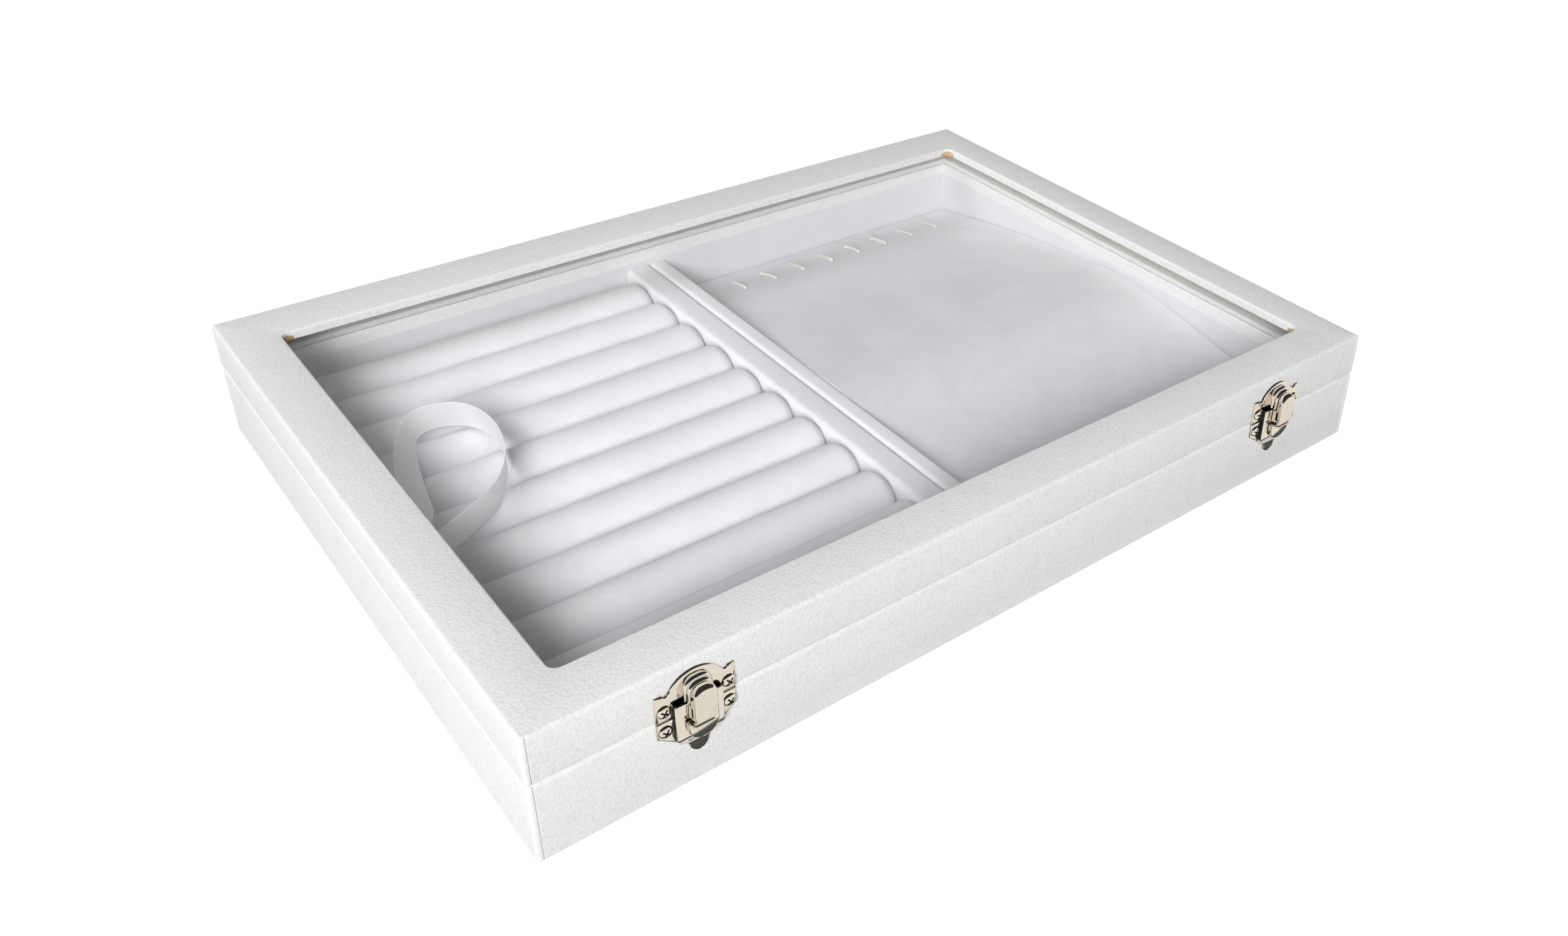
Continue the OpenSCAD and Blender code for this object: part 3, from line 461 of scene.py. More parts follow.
def foam_roll_tree(material):
    """A round bar along X with round ends, a slightly uneven face and a flat underside."""
    bulge_mm = 26
    tree, given = node_tree("foam_roll", Length="Float", Radius="Float", End="Float", Flat="Float",
                            Place="Vector", Unevenness="Float", Seed="Float")
    far = add(tree, "ShaderNodeCombineXYZ", {"X": given["Length"]})
    line = add(tree, "GeometryNodeCurvePrimitiveLine", {"End": far})
    fine = add(tree, "GeometryNodeResampleCurve", {"Curve": line, "Count": 90})
    # Points stand closer together at the ends, where the bar is round.
    place = add(tree, "GeometryNodeSplineParameter")
    turn = add(tree, "ShaderNodeMath", {0: place, 1: pi}, operation="MULTIPLY")
    swing = add(tree, "ShaderNodeMath", {0: turn}, operation="COSINE")
    twice = add(tree, "ShaderNodeMath", {0: 1.0, 1: swing}, operation="SUBTRACT")
    share = add(tree, "ShaderNodeMath", {0: twice, 1: 0.5}, operation="MULTIPLY")
    along = add(tree, "ShaderNodeMath", {0: share, 1: given["Length"]}, operation="MULTIPLY")
    spot = add(tree, "ShaderNodeCombineXYZ", {"X": along})
    spread = add(tree, "GeometryNodeSetPosition", {"Geometry": fine, "Position": spot})
    at = add(tree, "GeometryNodeInputPosition")
    # Within a length End of either end the bar narrows along a quarter circle.
    x = add(tree, "ShaderNodeSeparateXYZ", {0: at})
    other = add(tree, "ShaderNodeMath", {0: given["Length"], 1: x}, operation="SUBTRACT")
    nearest = add(tree, "ShaderNodeMath", {0: x, 1: other}, operation="MINIMUM")
    short = add(tree, "ShaderNodeMath", {0: given["End"], 1: nearest}, operation="SUBTRACT")
    gap = add(tree, "ShaderNodeMath", {0: short, 1: 0.0}, operation="MAXIMUM")
    end_square, gap_square = (add(tree, "ShaderNodeMath", {0: side, 1: side}, operation="MULTIPLY")
                              for side in (given["End"], gap))
    bow_square = add(tree, "ShaderNodeMath", {0: end_square, 1: gap_square}, operation="SUBTRACT")
    bow = add(tree, "ShaderNodeMath", {0: bow_square}, operation="SQRT")
    core = add(tree, "ShaderNodeMath", {0: given["Radius"], 1: given["End"]}, operation="SUBTRACT")
    width = add(tree, "ShaderNodeMath", {0: core, 1: bow}, operation="ADD")
    round_bar = add(tree, "GeometryNodeCurvePrimitiveCircle", {"Resolution": 64, "Radius": 1.0})
    bar = add(tree, "GeometryNodeCurveToMesh", {"Curve": spread, "Profile Curve": round_bar, "Scale": width,
                                                "Fill Caps": True})
    uneven = add(tree, "ShaderNodeTexNoise", {"Vector": at, "W": given["Seed"], "Scale": per_mm(bulge_mm),
                                              "Detail": 1.5}, noise_dimensions="4D")
    below = add(tree, "ShaderNodeMath", {0: uneven, 1: 1.0}, operation="SUBTRACT")
    inward = add(tree, "ShaderNodeMath", {0: below, 1: given["Unevenness"]}, operation="MULTIPLY")
    face = add(tree, "GeometryNodeInputNormal")
    shift = add(tree, "ShaderNodeVectorMath", {0: face, "Scale": inward}, operation="SCALE")
    soft = add(tree, "GeometryNodeSetPosition", {"Geometry": bar, "Offset": shift})
    parts = add(tree, "ShaderNodeSeparateXYZ", {0: at})
    level = add(tree, "ShaderNodeMath", {0: parts.outputs[2], 1: given["Flat"]}, operation="MAXIMUM")
    resting = add(tree, "ShaderNodeCombineXYZ", {"X": parts, "Y": parts.outputs[1], "Z": level})
    cut = add(tree, "GeometryNodeSetPosition", {"Geometry": soft, "Position": resting})
    placed = add(tree, "GeometryNodeSetPosition", {"Geometry": cut, "Offset": given["Place"]})
    return end_tree(tree, add(tree, "GeometryNodeSetShadeSmooth", {"Geometry": placed}), material)


# The rolls, end bar and divider get a whiter copy of the same velvet, painted lighter as lit.
roll_velvet = short_velvet("white_velvet_painted_whiter", "#F8F8FA", "#E9E9ED", nap_mm=18)
roll_tree = foam_roll_tree(roll_velvet)
for node in [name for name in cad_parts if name.startswith("ring_roll_")]:
    number = int(node.rsplit("_", 1)[1])
    lowest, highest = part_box(node)
    axis_z = highest.z - ROLL_R
    roll = grown(f"foam_roll_{number}", roll_tree, Length=highest.x - lowest.x, Radius=ROLL_R, End=ROLL_END_R,
                 Flat=lowest.z - axis_z, Place=(lowest.x, (lowest.y + highest.y) / 2, axis_z),
                 Unevenness=0.5 * MM, Seed=number * 3.7)
    fitted(roll, "base", "velvet", node)


def bar_along_y(name, node, material, radius, steps=6, rows=40):
    """An upright bar with its top edges rounded, gently uneven along its length."""
    lowest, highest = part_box(node)
    rings = []
    for k in range(rows + 1):
        y = lowest.y + (highest.y - lowest.y) * k / rows
        wave = 0.25 * MM * (noise.noise(Vector((y / (30 * MM), 0, radius / MM))) - 1) / 2
        section = [(lowest.x, lowest.z)]
        for cx, start in ((lowest.x + radius, 180), (highest.x - radius, 90)):
            for i in range(steps + 1):
                turn = radians(start - 90 * i / steps)
                section.append((cx + radius * cos(turn), highest.z + wave - radius + radius * sin(turn)))
        section.append((highest.x, lowest.z))
        rings.append([(x, y, z) for x, z in section])
    return built(name, rings, material)


lay("ring_tray_board", velvet)
end_bar = bar_along_y("roll_end_bar", "tray_end_bar", roll_velvet, 2.5 * MM)
fitted(end_bar, "base", "velvet", "tray_end_bar")

# Divider and necklace board. The divider is card wrapped in velvet. The board beside it is velvet on a
# sheet of card, bent over a foam wedge into a soft ridge, with a row of elastic loops sewn near the back.

fitted(bar_along_y("bay_divider", "divider", roll_velvet, 1.6 * MM), "base", "velvet", "divider")


def open_cell_foam():
    """Open cells make cut foam matt and lumpy: cream, with painted shade in the hollows."""
    cell_mm = 0.9
    material, tree = bare_material("open_cell_polyurethane_foam")
    cell = add(tree, "ShaderNodeTexVoronoi", {"Vector": object_coordinates(tree), "Scale": per_mm(cell_mm)})
    colour = add(tree, "ShaderNodeMix", {"Factor": cell, "A": linear("#F1EBDD"), "B": linear("#CFC6B2")},
                 data_type="RGBA")
    bump = add(tree, "ShaderNodeBump", {"Height": cell, "Strength": 0.7, "Distance": 0.3 * MM}, invert=True)
    return surface(material, add(tree, "ShaderNodeBsdfPrincipled", {
        "Base Color": colour, "Roughness": 0.95, "Normal": bump}))


lay("necklace_foam", open_cell_foam())
BOARD_T, BOARD_GAP = 1.6 * MM, 0.9 * MM
board_low, board_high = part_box("necklace_board")


def board_heights():
    """The height of the board's face at each distance from the front, read from its solid's left edge."""
    heights = {}
    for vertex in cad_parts["necklace_board"].data.vertices:
        if vertex.co.x - board_low.x < 0.01 * MM:
            key = round(vertex.co.y, 5)
            heights[key] = max(heights.get(key, 0), vertex.co.z)
    return sorted(heights.items())


profile = board_heights()


def board_z(y):
    """The face between the profile's points, smoothed over 12 mm so that no bend shows as a line."""
    def straight(at):
        for (y0, z0), (y1, z1) in zip(profile, profile[1:]):
            if at <= y1:
                return z0 + (z1 - z0) * (at - y0) / max(y1 - y0, 1e-9)
        return profile[-1][1]
    reach = 6 * MM
    first, last = profile[0][0], profile[-1][0]
    samples = [straight(min(max(y + reach * k / 2, first), last)) for k in range(-2, 3)]
    return sum(samples) / len(samples)


def necklace_board(rows=60, columns=40):
    rings = []
    for i in range(columns + 1):
        x = board_low.x + (board_high.x - BOARD_GAP - board_low.x) * i / columns
        ys = [board_low.y + (board_high.y - BOARD_GAP - board_low.y) * k / rows for k in range(rows + 1)]
        face = []
        for y in ys:
            ripple = 0.7 * MM * (noise.noise(Vector((x / (48 * MM), y / (36 * MM), 4.2))) - 1) / 2
            face.append((x, y, max(board_z(y) + ripple, FLOOR_TOP + BOARD_T * 0.6)))
        under = [(x, y, max(z - BOARD_T, FLOOR_TOP)) for x, y, z in face]
        rings.append(face + under[::-1])
    cloth = short_velvet("white_velvet_board", "#EDEDF1", "#D7D7DD", nap_mm=24)
    return built("velvet_necklace_board", rings, cloth)


fitted(necklace_board(), "base", "velvet", "necklace_board")

loops_low, loops_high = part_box("necklace_loops")
LOOP_D, LOOP_COUNT, LOOP_RISE, LOOP_SUNK = 1.6 * MM, 8, 0.9 * MM, 0.15 * MM


def elastic_cord():
    """A braid of pale yarn over rubber: cream, soft to the eye, with painted shade between the yarns."""
    # Real ribs are about 0.35 mm apart. The texture draws one every 0.31 of its size, so that these are
    # 2.2 mm apart and show.
    wave_mm = 7
    material, tree = bare_material("braided_elastic_cord")
    rib = add(tree, "ShaderNodeTexWave", {"Vector": object_coordinates(tree), "Scale": per_mm(wave_mm),
                                          "Distortion": 2})
    colour = add(tree, "ShaderNodeMix", {"Factor": rib.outputs["Fac"], "A": linear("#D6D9CE"),
                                         "B": linear("#E6E8DF")}, data_type="RGBA")
    return surface(material, add(tree, "ShaderNodeBsdfPrincipled", {
        "Base Color": colour, "Roughness": 0.6, "Sheen Weight": 0.2}))


def loop_tree(material):
    """A row of low arches of cord along X, each in the plane of Y and Z. Wire is the cord's radius."""
    tree, given = node_tree("cord_loops", Count="Int", Pitch="Float", Half="Float", Rise="Float",
                            Wire="Float", Slope="Float", Place="Vector")
    half_circle = add(tree, "GeometryNodeCurveArc", {"Resolution": 24, "Radius": 1.0, "Sweep Angle": pi})
    spot = add(tree, "ShaderNodeSeparateXYZ", {0: add(tree, "GeometryNodeInputPosition")})
    height = add(tree, "ShaderNodeMath", {0: spot.outputs[1]}, operation="ABSOLUTE")
    flatter = add(tree, "ShaderNodeMath", {0: height, 1: 0.45}, operation="POWER")
    rise = add(tree, "ShaderNodeMath", {0: flatter, 1: given["Rise"]}, operation="MULTIPLY")
    reach = add(tree, "ShaderNodeMath", {0: spot, 1: given["Half"]}, operation="MULTIPLY")
    shape = add(tree, "ShaderNodeCombineXYZ", {"Y": reach, "Z": rise})
    arch = add(tree, "GeometryNodeSetPosition", {"Geometry": half_circle, "Position": shape})
    wire = add(tree, "GeometryNodeCurvePrimitiveCircle", {"Resolution": 12, "Radius": given["Wire"]})
    one = add(tree, "GeometryNodeCurveToMesh", {"Curve": arch, "Profile Curve": wire, "Fill Caps": True})
    step = add(tree, "ShaderNodeCombineXYZ", {"X": given["Pitch"]})
    row = add(tree, "GeometryNodeMeshLine", {"Count": given["Count"], "Start Location": given["Place"],
                                             "Offset": step}, mode="OFFSET")
    lean = add(tree, "FunctionNodeRandomValue", {"Min": -0.12, "Max": 0.12, "Seed": 5}, data_type="FLOAT")
    turn = add(tree, "ShaderNodeCombineXYZ", {"X": given["Slope"], "Z": lean})
    many = add(tree, "GeometryNodeInstanceOnPoints", {"Points": row, "Instance": one, "Rotation": turn})
    return end_tree(tree, add(tree, "GeometryNodeSetShadeSmooth", {"Geometry": many}), material)


loops_y = (loops_low.y + loops_high.y) / 2
loops_half = (loops_high.y - loops_low.y) / 2 - LOOP_D / 2
loops_slope = atan2(board_z(loops_y + loops_half) - board_z(loops_y - loops_half), 2 * loops_half)
loops = grown("cord_loops", loop_tree(elastic_cord()), Count=LOOP_COUNT,
              Pitch=(loops_high.x - loops_low.x - LOOP_D) / (LOOP_COUNT - 1), Half=loops_half, Rise=LOOP_RISE,
              Wire=LOOP_D / 2, Slope=loops_slope,
              Place=(loops_low.x + LOOP_D / 2, loops_y, board_z(loops_y) - LOOP_SUNK))
fitted(loops, "base", "loop_cord", "necklace_loops")

# Skin of the lid. The same leatherette covers the four walls and the frame board, turned in over the rim
# and down the edge of the window. It is slit at the window's corners, where slivers of board show.

WINDOW = (LID_LOW.x + 18 * MM, LID_HIGH.x - 16.2 * MM, LID_LOW.y + 18.6 * MM, LID_HIGH.y - 21.2 * MM)
WINDOW_R, WINDOW_EDGE_R = 3 * MM, 0.9 * MM
PANE_LOW, PANE_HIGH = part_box("glass_pane")
AT_WINDOW = 20 * MM


def lid_ring(place, z, steps=5):
    """Up to 10 mm a place is a distance in from the faces, and past that it is one short of the window."""
    if place < AT_WINDOW / 2:
        return ring(rectangle(place), corner_radius(place), z, SEAM_DEPTH if place < 0.3 * MM else 0, steps)
    grow = AT_WINDOW - place
    x0, x1, y0, y1 = WINDOW
    return ring((x0 - grow, x1 + grow, y0 - grow, y1 + grow), WINDOW_R + grow, z, 0, steps)


low, top, under = LID_LOW.z, LID_HIGH.z, PANE_HIGH.z
outline = rounded([
    (0, low, RIM_R), (0, top, EDGE_R), (AT_WINDOW, top, WINDOW_EDGE_R), (AT_WINDOW, under, 0),
    (AT_WINDOW - SKIN_T, under, 0), (AT_WINDOW - SKIN_T, top - SKIN_T, 0.3 * MM),
    (SKIN_T, top - SKIN_T, 0.6 * MM), (SKIN_T, low + SKIN_T, 0.4 * MM), (INNER, low + SKIN_T, 0.3 * MM),
    (INNER, low + LID_TURN_IN, 0), (INNER + SKIN_T, low + LID_TURN_IN, 0),
    (INNER + SKIN_T, low, RIM_R * 0.8)])
skin = built("lid_skin", [lid_ring(a, z) for a, z in outline], leatherette, joined=True)
fitted(skin, "lid", "leatherette", "lid_cover")

RAW_R, RAW_H, RAW_BACK = 4.4 * MM, 1.3 * MM, 0.02 * MM


def frame_board():
    """The board under the skin. Its window's corners are rounder than the skin's, so slivers stay bare."""
    x0, x1, y0, y1 = WINDOW
    inset = SKIN_T * 1.2
    outer = [ring(rectangle(inset), corner_radius(inset), z) for z in (under, top - inset)]
    inner = [ring((x0 - grow, x1 + grow, y0 - grow, y1 + grow), RAW_R, z)
             for grow, z in ((inset, top - inset), (RAW_BACK, under + RAW_H), (RAW_BACK, under))]
    return built("lid_frame_fibreboard", outer + inner, fibreboard, joined=True)


fitted(frame_board(), "lid", "fibreboard", "lid_frame_board")

# Glass. A pane of clear float glass, with ground edges, is glued under the frame board. Lamps shine
# straight through it, so that what lies below is lit, and it mirrors only a little.


def float_glass():
    """Clear, with a faint film of dust that dulls what it mirrors in places."""
    smear_mm = 45
    material, tree = bare_material("clear_float_glass")
    smear = add(tree, "ShaderNodeTexNoise", {"Vector": object_coordinates(tree), "Scale": per_mm(smear_mm),
                                             "Detail": 5})
    rough = add(tree, "ShaderNodeMapRange", {"Value": smear, "From Min": 0.4, "From Max": 0.8,
                                             "To Min": 0.0, "To Max": 0.04})
    pane = add(tree, "ShaderNodeBsdfPrincipled", {"Base Color": linear("#FEFEFE"), "Roughness": rough,
                                                  "IOR": 1.28, "Transmission Weight": 1.0})
    clear = add(tree, "ShaderNodeBsdfTransparent", {"Color": linear("#FCFDFD")})
    path = add(tree, "ShaderNodeLightPath")
    unseen = add(tree, "ShaderNodeMath", {0: path.outputs["Is Shadow Ray"],
                                          1: path.outputs["Is Diffuse Ray"]}, operation="MAXIMUM")
    return surface(material, add(tree, "ShaderNodeMixShader", {0: unseen, 1: pane, 2: clear}))


ground, pane_r = 0.3 * MM, 1 * MM
outline = [(ground, PANE_LOW.z), (0, PANE_LOW.z + ground), (0, PANE_HIGH.z - ground), (ground, PANE_HIGH.z)]
rings = [ring((PANE_LOW.x + a, PANE_HIGH.x - a, PANE_LOW.y + a, PANE_HIGH.y - a), pane_r, z)
         for a, z in outline]
fitted(built("window_glass", rings, float_glass(), smooth=20), "lid", "glass", "glass_pane")

# Lining of the lid. A strip of velvet hides the wall boards between the turned-in skin and the glass.
# It is the same cloth as in the base, painted grey as shade under the lid's frame.

lid_velvet_painted_grey = short_velvet("velvet_strip_painted_grey", "#CDCBC8", "#BDBBB7")
lid_strip = lining("lid_wall_lining", LID_LOW.z + LID_TURN_IN, PANE_LOW.z, lid_velvet_painted_grey)
fitted(lid_strip, "lid", "lid_lining", "lid_lining")

# Lid stay. A white satin ribbon, 10 mm wide, runs from the left wall of the base to the left wall of the
# lid and stops the lid when it stands open. Shut in, it stands on edge over the rolls in one loose loop.

RIBBON_W, RIBBON_T, RIBBON_SWAY = 10 * MM, 0.2 * MM, 4
RIBBON_ROUTE = [
    (6.6, 101, 30, 0), (12, 101.5, 30, 0), (23, 107.5, 30, 0), (34.5, 113.5, 30, 0), (46, 121, 30, 0),
    (53.5, 130.5, 30, 0), (58.5, 141, 30, 0), (61.3, 153, 30, 0), (60.8, 165, 30, 0), (56, 174, 30, 0),
    (47.5, 178, 30, 0), (40, 176, 30, -8), (34.5, 168, 29.3, -28), (29.5, 155, 27.9, -52),
    (26.5, 142, 27.6, -60), (24, 131, 28, -55), (18, 122.5, 30, -40), (11, 123, 33, -20), (7.5, 131, 35, -5),
    (6.8, 147, 35.8, 0)]


def satin():
    """Thin, shining and partly seen through, with closer selvedges. Its map is in metres along and across."""
    # Real threads are finer than 0.35 mm, and are drawn coarser so that they show.
    thread_mm, crease_mm, selvedge_mm = 0.35, 7, 0.5
    material, tree = bare_material("sheer_satin_ribbon")
    weave = add(tree, "ShaderNodeUVMap", uv_map="weave")
    drawn = add(tree, "ShaderNodeVectorMath", {0: weave, 1: (1, 0.06, 1)}, operation="MULTIPLY")
    thread = add(tree, "ShaderNodeTexNoise", {"Vector": drawn, "Scale": per_mm(thread_mm), "Detail": 3})
    crease = add(tree, "ShaderNodeTexNoise", {"Vector": weave, "Scale": per_mm(crease_mm), "Detail": 2})
    bump = add(tree, "ShaderNodeBump", {"Height": thread, "Strength": 0.35, "Distance": 0.08 * MM})
    rough = add(tree, "ShaderNodeMapRange", {"Value": crease, "To Min": 0.26, "To Max": 0.42})
    cloth = add(tree, "ShaderNodeBsdfPrincipled", {
        "Base Color": linear("#FBFBFC"), "Roughness": rough, "Sheen Weight": 0.4, "Sheen Roughness": 0.3,
        "Specular IOR Level": 0.8, "Normal": bump})
    glow = add(tree, "ShaderNodeBsdfTranslucent", {"Color": linear("#F8F9FA")})
    gap = add(tree, "ShaderNodeBsdfTransparent", {"Color": linear("#FFFFFF")})
    lit = add(tree, "ShaderNodeMixShader", {0: 0.35, 1: cloth, 2: glow})
    turned = add(tree, "ShaderNodeLayerWeight", {"Blend": 0.5})
    open_weave = add(tree, "ShaderNodeMapRange", {"Value": turned.outputs["Facing"], "From Min": 0.1,
                                                  "From Max": 0.9, "To Min": 0.48, "To Max": 0.12})
    across = add(tree, "ShaderNodeSeparateXYZ", {0: weave})
    off_edge = add(tree, "ShaderNodeMath", {0: across.outputs[1]}, operation="ABSOLUTE")
    closed = add(tree, "ShaderNodeMapRange", {
        "Value": off_edge, "From Min": RIBBON_W / 2 - selvedge_mm * MM, "From Max": RIBBON_W / 2,
        "To Min": 1.0, "To Max": 0.2})
    sheer = add(tree, "ShaderNodeMath", {0: open_weave, 1: closed}, operation="MULTIPLY")
    return surface(material, add(tree, "ShaderNodeMixShader", {0: sheer, 1: lit, 2: gap}))


def smooth_route(points, steps):
    """A curve through every point, with steps pieces between two of them."""
    out = []
    for i in range(len(points) - 1):
        a, b, c, d = (Vector(points[min(max(k, 0), len(points) - 1)]) for k in (i - 1, i, i + 1, i + 2))
        for s in range(steps):
            t = s / steps
            out.append(0.5 * (2 * b + (c - a) * t + (2 * a - 5 * b + 4 * c - d) * t * t
                              + (3 * b - a - 3 * c + d) * t ** 3))
    return out + [Vector(points[-1])]


def ribbon(path):
    """A thin strip along the path, in millimetres from the case's corner. A point's fourth number is its lean
    to the left in degrees."""
    corner = Vector((CASE_LOW.x, CASE_LOW.y, 0))
    steps = [k / 8 - 0.5 for k in range(9)]
    rings, weave, along = [], [], 0
    for i, (x, y, z, lean) in enumerate(path):
        run = path[min(i + 1, len(path) - 1)] - path[max(i - 1, 0)]
        side = Vector((-run[1], run[0], 0)).normalized()
        lean = radians(lean + RIBBON_SWAY * sin(i / 9))
        across = side * sin(lean) + Vector((0, 0, cos(lean)))
        outward = side * cos(lean) - Vector((0, 0, sin(lean)))
        here = corner + Vector((x, y, z)) * MM
        near = [here + across * RIBBON_W * k + outward * RIBBON_T / 2 for k in steps]
        far = [here + across * RIBBON_W * k - outward * RIBBON_T / 2 for k in reversed(steps)]
        rings.append(near + far)
        along += (path[i] - path[max(i - 1, 0)]).to_3d().length * MM
        weave += [(along, RIBBON_W * k) for k in steps + steps[::-1]]
    strip = built("satin_lid_stay", rings, satin(), smooth=60)
    layer = strip.data.uv_layers.new(name="weave")
    for loop in strip.data.loops:
        layer.data[loop.index].uv = weave[loop.vertex_index]
    return strip


ribbon_path = smooth_route(RIBBON_ROUTE, 9)
stay = ribbon(ribbon_path)
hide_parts("lid_stay_ribbon")
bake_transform(stay)

# Draw catches. Each is pressed from thin steel and nickel-plated: a plate with a scoop on the lid, a plate
# with a raised channel on the base, a lever that turns on a pin between its ears, and a folded hook.
# Pressing rounds every edge, so the edges mirror the dark of the room as thin black and white lines.

SIDES = ("left", "right")
catch_low, catch_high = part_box("catch_lid_plate_right")
CATCH_X, SPLIT_Z = (catch_low.x + catch_high.x) / 2, (CASE_HIGH.z + LID_LOW.z) / 2


def nickel_plate(name, rough_low, rough_high, grain):
    """Bright plating with a faint tarnish. grain is how far its scratches are drawn out along X."""
    # Real scratches are finer than 0.35 mm, and are drawn coarser so that they show.
    tarnish_mm, scratch_mm = 5, 0.35
    material, tree = bare_material(name)
    at = object_coordinates(tree)
    drawn = add(tree, "ShaderNodeVectorMath", {0: at, 1: (1 / grain, 1, 1)}, operation="MULTIPLY")
    tarnish = add(tree, "ShaderNodeTexNoise", {"Vector": at, "Scale": per_mm(tarnish_mm), "Detail": 4})
    scratch = add(tree, "ShaderNodeTexNoise", {"Vector": drawn, "Scale": per_mm(scratch_mm), "Detail": 5})
    colour = add(tree, "ShaderNodeMix", {"Factor": tarnish, "A": linear("#D8CEBE"), "B": linear("#E6DED1")},
                 data_type="RGBA")
    rough = add(tree, "ShaderNodeMapRange", {"Value": scratch, "From Min": 0.3, "From Max": 0.8,
                                             "To Min": rough_low, "To Max": rough_high})
    bump = add(tree, "ShaderNodeBump", {"Height": scratch, "Strength": 0.08, "Distance": 0.05 * MM})
    return surface(material, add(tree, "ShaderNodeBsdfPrincipled", {
        "Base Color": colour, "Metallic": 1.0, "Roughness": rough, "Normal": bump}))


def nickel_painted_recess_shade():
    """Nickel painted near-black and dull, as painted shade in recesses, a little mottled."""
    mottle_mm = 1.5
    material, tree = bare_material("nickel_with_painted_recess_shade")
    # A faint mottling of the painted shade.
    film = add(tree, "ShaderNodeTexNoise", {"Vector": object_coordinates(tree), "Scale": per_mm(mottle_mm),
                                            "Detail": 3})
    colour = add(tree, "ShaderNodeMix", {"Factor": film, "A": linear("#1A1816"), "B": linear("#332F2B")},
                 data_type="RGBA")
    return surface(material, add(tree, "ShaderNodeBsdfPrincipled", {
        "Base Color": colour, "Metallic": 0.6, "Roughness": 0.45}))


def softened(name, node, width, material, segments=3):
    """The CAD node's shape with its sharp edges rounded."""
    form = bmesh.new()
    form.from_mesh(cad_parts[node].data)
    bmesh.ops.remove_doubles(form, verts=form.verts, dist=0.002 * MM)
    bmesh.ops.dissolve_limit(form, angle_limit=radians(0.5), verts=form.verts, edges=form.edges)
    sharp = [e for e in form.edges if e.is_manifold and e.calc_face_angle() > radians(35)]
    bmesh.ops.bevel(form, geom=sharp, offset=width, segments=segments, profile=0.5, affect="EDGES",
                    clamp_overlap=True)
    mesh = bpy.data.meshes.new(name)
    form.to_mesh(mesh)
    form.free()
    mesh.shade_smooth()
    mesh.set_sharp_from_angle(angle=radians(35))
    mesh.materials.clear()
    mesh.materials.append(material)
    return link(bpy.data.objects.new(name, mesh))


def arc(x, z, r, start, end, steps=12):
    """Points of an arc in a front view, from one angle in degrees to the other."""
    turns = [radians(start + (end - start) * k / steps) for k in range(steps + 1)]
    return [(x + r * cos(t), z + r * sin(t)) for t in turns]


def inward(outline):
    """How each point of an anticlockwise outline moves when the outline shrinks by one."""
    moves = []
    for i, here in enumerate(outline):
        here = Vector(here)
        before, after = here - Vector(outline[i - 1]), Vector(outline[(i + 1) % len(outline)]) - here
        a, b = Vector((-before.y, before.x)).normalized(), Vector((-after.y, after.x)).normalized()
        moves.append((a + b) / max(1 + a.dot(b), 0.5))
    return moves


def pressed(outline, back, front, bend, top_bend=0.0, steps=6):
    """Rings of a pressed plate. Its front edge bends back over bend, and at the top over top_bend."""
    moves = inward(outline)
    rings = [[(x, -back, z) for x, z in outline]]
    for k in range(steps + 1):
        turn = pi / 2 * k / steps
        row = []
        for (x, z), move in zip(outline, moves):
            reach = bend + max(top_bend - bend, 0) * max(-move.y, 0) ** 1.5
            reach *= 0.4 if (abs(x), z) in NOTCH else 1
            depth = min(reach, front - back)
            row.append((x + move.x * reach * (1 - cos(turn)), depth * (1 - sin(turn)) - front,
                        z + move.y * reach * (1 - cos(turn))))
        rings.append(row)
    return rings


def bar_rows(rows, bend, steps=4):
    """Rings of a bar that runs upwards, with round front edges. Each row is (z, half width, back, front)."""
    turns = [pi / 2 * k / steps for k in range(steps + 1)]
    rings = []
    for z, half, back, front in rows:
        r = min(bend, half, front - back)
        section = [(-half, -back, z)]
        for side in (-1, 1):
            edge = [(side * (half - r + r * cos(t)), r * (1 - sin(t)) - front, z) for t in turns]
            section += edge if side < 0 else edge[::-1]
        rings.append(section + [(half, -back, z)])
    return rings


def across(outline, half):
    """Rings of a bar that runs along X. outline is a side view of (distance from the case, z)."""
    return [[(x, -y, z) for y, z in outline] for x in (-half, half)]


def tube(path, radius, steps=10):
    """Rings of a wire along a path of (x, distance from the case, z), with round ends."""
    points = [Vector((x, -y, z)) for x, y, z in path]
    turns = [2 * pi * k / steps for k in range(steps)]
    up = Vector((0, 0, 1))
    rings = []
    for i, here in enumerate(points):
        along = (points[min(i + 1, len(points) - 1)] - points[max(i - 1, 0)]).normalized()
        side = along.cross(up).normalized()
        shrink = radius * (0.35 if i in (0, len(points) - 1) else 1)
        rings.append([here + (side * cos(turn) + up * sin(turn)) * shrink for turn in turns])
    return rings


def catch_piece(name, side, body, parts, material, *nodes):
    """One piece of a catch out of several lists of rings, in millimetres from the middle of the split."""
    middle = Vector((-CATCH_X if side == "left" else CATCH_X, CASE_LOW.y, SPLIT_Z))
    made = [built(name, [[middle + Vector(p) * MM for p in row] for row in rings], material, smooth=48)
            for rings in parts]
    form = bmesh.new()
    for one in made:
        form.from_mesh(one.data)
        bpy.data.objects.remove(one)
    mesh = bpy.data.meshes.new(name)
    form.to_mesh(mesh)
    form.free()
    mesh.materials.append(material)
    return fitted(link(bpy.data.objects.new(f"{name}_{side}", mesh)), body, "nickel", *nodes)


def second_material(obj, material, chosen):
    """Gives the faces that chosen(middle, normal) picks another material."""
    obj.data.materials.append(material)
    for face in obj.data.polygons:
        if chosen(face.center, face.normal):
            face.material_index = len(obj.data.materials) - 1


